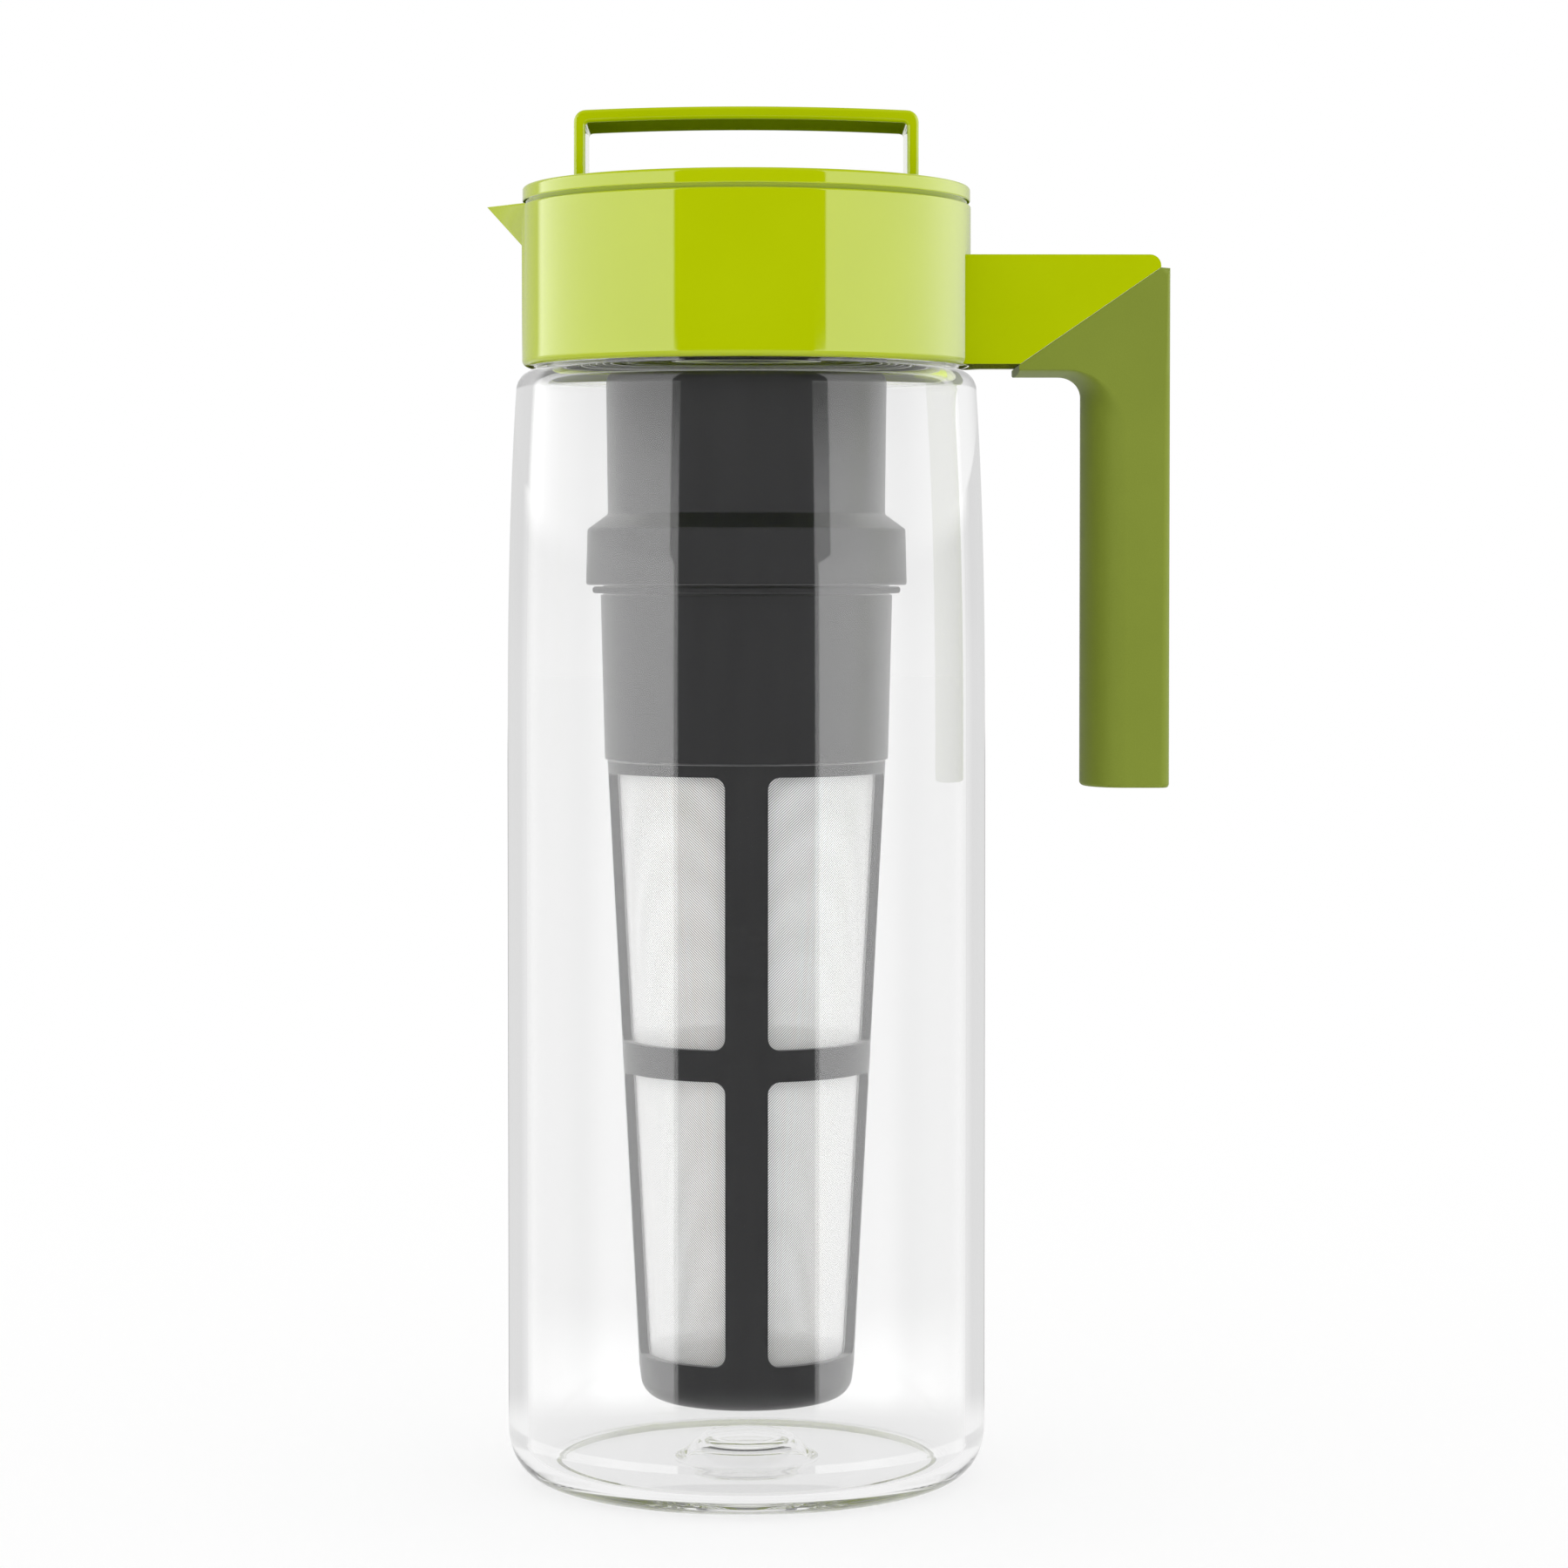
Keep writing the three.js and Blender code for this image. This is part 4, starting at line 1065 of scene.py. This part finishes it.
cup_edge = FRAME_FOOT + CUP_ROUNDING
inner_rounding = CUP_ROUNDING - CUP_FLOOR
cup_turn = arc((frame_radius(FRAME_FOOT) - CUP_ROUNDING, cup_edge),
               (CUP_ROUNDING, CUP_ROUNDING), 0, -90, CURVE_STEPS)
inner_curve = arc((frame_radius(cup_edge) - FRAME_WALL - inner_rounding, cup_edge),
                  (inner_rounding, inner_rounding), 0, -90, ARC_STEPS)
cup_outside = [(frame_radius(cup_top), cup_top), *cup_turn, (CUP_MIDDLE, FRAME_FOOT)]
cup_inside = [(frame_radius(cup_top) - FRAME_WALL, cup_top), *inner_curve,
              (CUP_MIDDLE, FRAME_FOOT + CUP_FLOOR)]
seam_radius = frame_radius(FRAME_EDGE)
spigot = [(seam_radius, FRAME_EDGE), (SPIGOT_OUTER, FRAME_EDGE), (SPIGOT_OUTER, FRAME_TOP),
          (SPIGOT_BORE, FRAME_TOP), (SPIGOT_BORE, FRAME_EDGE),
          (seam_radius - FRAME_WALL, FRAME_EDGE)]
for outline in (cup_outside, cup_inside, spigot):
    lines = [[skin_point(a, z, r) for a in grid_lines] for r, z in outline]
    for one, other in zip(lines, lines[1:]):
        strip(one, other)
for z in (FRAME_FOOT, FRAME_FOOT + CUP_FLOOR):
    rim = [skin_point(a, z, CUP_MIDDLE) for a in grid_lines]
    for one, other in zip(rim, rim[1:]):
        quarter.faces.new([one, other, quarter.verts.new((0, 0, z))])
bmesh.ops.remove_doubles(quarter, verts=quarter.verts, dist=WELD)
window_frame = new_piece("window_frame", [])
quarter.to_mesh(window_frame.data)
quarter.free()
print("a quarter of the frame has", len(window_frame.data.polygons), "faces")

# %% [markdown]
# The tree makes the whole frame from this quarter. A small Bevel then softens the edges that are
# really sharp, and leaves the shallow angles between the facets of the cone alone.

# %% Whole frame
FRAME_SOFT_EDGE, SOFT_DEGREES = 0.25, 50
repeated(window_frame, QUARTERS, dark_plastic)
bevelled(window_frame, FRAME_SOFT_EDGE, 2, "ANGLE", SOFT_DEGREES)
fitted(window_frame, "basket_frame", dark_plastic, in_mirrors=False)

# %% [markdown]
# ## The woven sleeve
# Behind the windows a fine white cloth of nylon is stretched round the frame. Its threads are half
# a millimetre apart, far too many to model one by one, so the sleeve is a smooth cone with a UV map
# in millimetres, and the finish draws the weave on it: slanting ribs, finer threads across them,
# and gaps through which the far side shows. The map runs back and forth between the posts, so the
# ribs lean towards the post in front from both sides.

# %% Woven finish
RIB_PITCH, THREAD_PITCH, RIB_SHARE = 0.58, 0.4, 0.75
woven = Finish("woven_mesh")
weave_place = woven.node("ShaderNodeUVMap", {"uv_map": "weave"})
across = woven.node("ShaderNodeSeparateXYZ", None, {"Vector": weave_place})
upward = across.beside("Y")


def wave(way, pitch):
    """Height of one family of threads, from 0 in the gap to 1 on the thread."""
    return woven.maths("SINE", way * (math.tau / pitch)) * 0.5 + 0.5


ribs, threads = wave(across + upward, RIB_PITCH), wave(across - upward, THREAD_PITCH)
cover = ribs * RIB_SHARE + threads * (1 - RIB_SHARE)
woven.set({
    "Base Color": woven.mixed(cover, tone(243, 243, 242), tone(254, 254, 253)),
    "Roughness": 0.75 - cover * 0.15,
    "Alpha": 0.3 + woven.eased(cover, 0.2, 0.7) * 0.65,
})
woven.raised(cover, 0.05, 0.4)
print("finish:", woven.material.name)

# %% [markdown]
# The sleeve is a loft that stays open at both ends. Its UV map is written point by point: the way
# round the cone from the nearer of the two side posts, and the height.

# %% Woven sleeve
MESH_BOTTOM, MESH_TOP = heights("basket_mesh")
MESH_INSET, MESH_ROWS = FRAME_WALL + 0.5, 24
levels = [MESH_BOTTOM + (MESH_TOP - MESH_BOTTOM) * i / MESH_ROWS for i in range(MESH_ROWS + 1)]
spokes = [math.tau * i / TURN_FACETS for i in range(TURN_FACETS)]
cloth_rows = []
for z in levels:
    radius = frame_radius(z) - MESH_INSET
    cloth_rows.append([(radius * math.cos(a), radius * math.sin(a), z) for a in spokes])
woven_sleeve = lofted("woven_sleeve", cloth_rows, ends=False)
weave_map = woven_sleeve.data.uv_layers.new(name="weave")
low_radius, high_radius = (frame_radius(z) - MESH_INSET for z in (MESH_BOTTOM, MESH_TOP))
middle_radius = (low_radius + high_radius) / 2
for loop in woven_sleeve.data.loops:
    point = woven_sleeve.data.vertices[loop.vertex_index].co
    from_post = abs((math.atan2(point.y, point.x) + QUARTER) % math.pi - QUARTER)
    weave_map.data[loop.index].uv = (from_post * middle_radius, point.z)
fitted(woven_sleeve, "basket_mesh", woven, in_mirrors=False)

# %% [markdown]
# The cloth was cut as a strip that is a little narrower at its lower edge. Its flat size follows
# from the cone: the upper edge is the width, the slant is the length, and the area is that of the
# cone's side.

# %% Flat size of the cloth
slant = math.hypot(MESH_TOP - MESH_BOTTOM, high_radius - low_radius)
flat_size = (math.tau * high_radius * MM, slant * MM)
flat_area = math.tau * middle_radius * slant * MM ** 2
print("the cloth was", " by ".join(str(round(side / MM, 1)) for side in flat_size), "mm flat")

# %% [markdown]
# ## Floor
# The pitcher stands on a plain white floor. For the camera, and for what is seen through the clear
# jar, part of the floor's white is its own light, so that it meets the white surroundings without a
# line, while the rest still takes the pitcher's soft shadow. Through the jar, the floor farther
# behind is a little darker, so that the clear wall shows as an even light grey against the white.
# Paths that have met a mirror-like surface look through the floor to the studio below.

# %% Floor
FLOOR_HALF, FLOOR_DROP, FLOOR_WHITE = 8000, 0.3, tone(250, 250, 250)
SEEN_LIGHT, NEAR_LIGHT, THROUGH_LIGHT, INSIDE_LIGHT = 1.0, 0.86, 0.72, 1.75
FAR_START, FAR_END = 100 * MM, 240 * MM
SEEN_SHARE, THROUGH_SHARE = 0.28, 0.06


def grey(level):
    return (level, level, level, 1)


def own_light(level, share, daylight):
    """The floor's own light that makes up a level, when a share of it comes from lit paint."""
    return grey((level - share * daylight * FLOOR_WHITE[0]) / (1 - share))


floor_finish = Finish("white_floor")
floor_finish.set({"Base Color": FLOOR_WHITE, "Roughness": 0.9, "Specular IOR Level": 0.0})
seen = floor_finish.node("ShaderNodeLightPath", output="Is Camera Ray")
through = seen.beside("Is Transmission Ray")
mirrored, matt = (floor_finish.once(seen.beside(kind + " Depth")) for kind in ("Glossy", "Diffuse"))
away = floor_finish.node("ShaderNodeSeparateXYZ", None, {"Vector": floor_finish.place}, "Y")
through_colour = floor_finish.mixed(
    floor_finish.eased(away, FAR_START, FAR_END),
    own_light(NEAR_LIGHT, THROUGH_SHARE, INSIDE_LIGHT),
    own_light(THROUGH_LIGHT, THROUGH_SHARE, INSIDE_LIGHT))
own_colour = floor_finish.mixed(through, own_light(SEEN_LIGHT, SEEN_SHARE, 1), through_colour)
glow = floor_finish.node("ShaderNodeEmission", None, {"Color": own_colour, "Strength": 1.0})
own_share = seen * (1 - SEEN_SHARE) + through * (1 - THROUGH_SHARE)
paint = Wire(floor_finish, floor_finish.shader.outputs[0])
both = floor_finish.node("ShaderNodeMixShader", None, {0: own_share, 1: paint, 2: glow})
clear = floor_finish.node("ShaderNodeBsdfTransparent")
unseen = mirrored * (1 - matt)
shown = floor_finish.node("ShaderNodeMixShader", None, {0: unseen, 1: both, 2: clear})
floor_finish.feed(floor_finish.tree.nodes["Material Output"].inputs["Surface"], shown)
floor_corners = [(x * FLOOR_HALF, y * FLOOR_HALF, -FLOOR_DROP)
                 for x, y in ((-1, -1), (1, -1), (1, 1), (-1, 1))]
floor = new_piece("floor", floor_corners, faces=[(0, 1, 2, 3)])
floor.data.transform(TO_FRAME)
floor.data.materials.append(floor_finish.material)
print("the floor lies", FLOOR_DROP, "mm under the foot ring")

# %% [markdown]
# ## Studio light
# The light is a white tent: even from all sides, so that a colour renders as it is written. Gloss
# needs something to reflect, so paths that have met a mirror-like surface see two tall bright
# panels beside the pitcher, a dark gap between them, where the photographer stands, and a dark
# ceiling. Depths from the Light Path node tell such paths apart.

# %% Studio
# Light levels, as shares of the tent's white
JAR_PANEL, JAR_SIDE, JAR_FAR, JAR_EDGE = 3.6, 2.3, 1.3, 0.66
COLLAR_PANEL, COLLAR_EDGE, BACK_LIGHT, CEILING = 3.2, 0.7, 1.0, 0.2
INNER_LIGHT, TABLE_LIGHT, UPPER_LIGHT, NECK_LIGHT = 0.85, 0.9, 0.68, 0.2
# Degrees above the horizon between which one light fades into another
COLLAR_TILT, SIDE_TILT, CEILING_TILT, NECK_TILT = (2.75, 3.05), (1.8, 3.05), (25, 50), (4, 12)
BACK_TILT, BEHIND_TILT, TABLE_DIP = (-2.4, -1.8), (-1.2, 0.8), (10.8, 11.3)
# Degrees round from the photographer, to either side
GAP_LOW, GAP_HIGH, GAP_EDGE, GAP_TURN = 34, 38, 1.2, 1.9
SIDE_TURN, FAR_TURN, BACK_TURN = (68, 90), (92, 130), (168, 175)
JAR_END, LEFT_END, RIGHT_END = (128, 141), (130, 137), (105, 165)
# Counts of surfaces passed or met, which tell apart the paths that are deep in the clear wall
DEEP_PASSES, DEEP_MIRRORS, NECK_PASSES = 2, 1, 3

world = bpy.data.worlds.new("white_tent")
bpy.context.scene.world = world
world.use_nodes = True
studio = Bench(world.node_tree)
way = studio.node("ShaderNodeTexCoord", output="Generated")
east = studio.node("ShaderNodeSeparateXYZ", None, {"Vector": way})
north, up = east.beside("Y"), east.beside("Z")
met = studio.node("ShaderNodeLightPath", output="Glossy Depth")
passed = met.beside("Transmission Depth")
mirrored, through = studio.once(met), studio.once(passed)
matt = studio.once(met.beside("Diffuse Depth"))


def more(value, limit):
    return studio.maths("GREATER_THAN", value, limit)


def shifted(share, level, other):
    """One light level that turns into another one by a share from 0 to 1."""
    return level + share * (other - level)


# Where the path looks: how high, and how far round from the photographer
tilt = studio.maths("ARCSINE", up) * math.degrees(1)
above = studio.eased(tilt, *COLLAR_TILT) * (1 - through)
upper = studio.eased(tilt, *SIDE_TILT) * (1 - through)
bearing = studio.maths("ARCTAN2", east, 0 - north) * math.degrees(1) - above * GAP_TURN
aside, right = abs(bearing), more(bearing, 0)

# The two panels, with the gap between them
side = shifted(studio.eased(aside, *FAR_TURN), JAR_SIDE, JAR_FAR)
side = shifted(upper, side, COLLAR_PANEL)
front = shifted(above, JAR_PANEL, COLLAR_PANEL)
gap = shifted(above, GAP_LOW, GAP_HIGH)
panel = shifted(studio.eased(aside, *SIDE_TURN), front, side)
panel = studio.eased(aside - gap, 0, GAP_EDGE) * panel

# What lies behind the pitcher
back = shifted(studio.eased(aside, *BACK_TURN), shifted(above, JAR_EDGE, COLLAR_EDGE),
               BACK_LIGHT * studio.eased(tilt, *BACK_TILT))
behind_light = shifted(studio.eased(tilt, *BEHIND_TILT), THROUGH_LIGHT, UPPER_LIGHT)
back = shifted(through, back, behind_light)

# All that gloss mirrors: panels and back, ceiling, the inside of the wall, neck and table
panel_start, panel_end = (shifted(above, jar_end, shifted(right, left_end, right_end))
                          for jar_end, left_end, right_end in zip(JAR_END, LEFT_END, RIGHT_END))
mirror_light = shifted(studio.eased(aside, panel_start, panel_end), panel, back)
mirror_light = shifted(studio.eased(tilt, *CEILING_TILT) * (1 - through), mirror_light, CEILING)
deep = studio.maths("MAXIMUM", more(passed, DEEP_PASSES), more(met, DEEP_MIRRORS) * through)
mirror_light = shifted(deep, mirror_light, INNER_LIGHT)
shallow = through * (1 - more(passed, NECK_PASSES))
mirror_light = shifted(studio.eased(tilt, *NECK_TILT) * shallow, mirror_light, NECK_LIGHT)
mirror_light = shifted(studio.eased(0 - tilt, *TABLE_DIP), mirror_light, TABLE_LIGHT)
plain_light = 1 + through * (shifted(matt, behind_light, INSIDE_LIGHT) - 1)
backdrop = world.node_tree.nodes["Background"]
backdrop.inputs["Color"].default_value = (1, 1, 1, 1)
studio.feed(backdrop.inputs["Strength"], shifted(mirrored * (1 - matt), plain_light, mirror_light))
print("panels", JAR_PANEL, "times white, with a gap of", 2 * GAP_LOW, "degrees")

# %% [markdown]
# Light that is trapped in the clear wall and base bounces many times before it leaves. With too few
# bounces such paths end in black, so the limits are raised.

# %% Bounces
MOST_BOUNCES, GLOSSY_BOUNCES = 96, 64
paths = bpy.context.scene.cycles
paths.max_bounces = paths.transmission_bounces = MOST_BOUNCES
paths.glossy_bounces = GLOSSY_BOUNCES
print("up to", paths.max_bounces, "bounces")

# %% [markdown]
# ## Camera
# The photograph was taken with a long lens, from about two thirds of the pitcher's height. The
# camera stands in front of the jar's axis, with a slight tilt and yaw, and a lens shift moves the
# picture to its place without a further tilt.

# %% Camera
SENSOR, LENS, LENS_SHIFT, SIGHT_END = 36, 97.31, -0.0492, 100
CAMERA_PLACE, CAMERA_DIP, CAMERA_YAW = Vector((0.33, -934.3, 196.8)), 1.682, 0.487
camera = bpy.data.objects.new("camera", bpy.data.cameras.new("camera"))
bpy.context.scene.collection.objects.link(camera)
bpy.context.scene.camera = camera
camera.data.sensor_width, camera.data.lens, camera.data.shift_y = SENSOR, LENS, LENS_SHIFT
camera.data.clip_end = SIGHT_END
camera.location = TO_FRAME @ CAMERA_PLACE
camera.rotation_euler = (math.radians(90 - CAMERA_DIP), 0, math.radians(-CAMERA_YAW))
bpy.context.scene.view_settings.view_transform = "Standard"
print("lens", camera.data.lens, "mm")
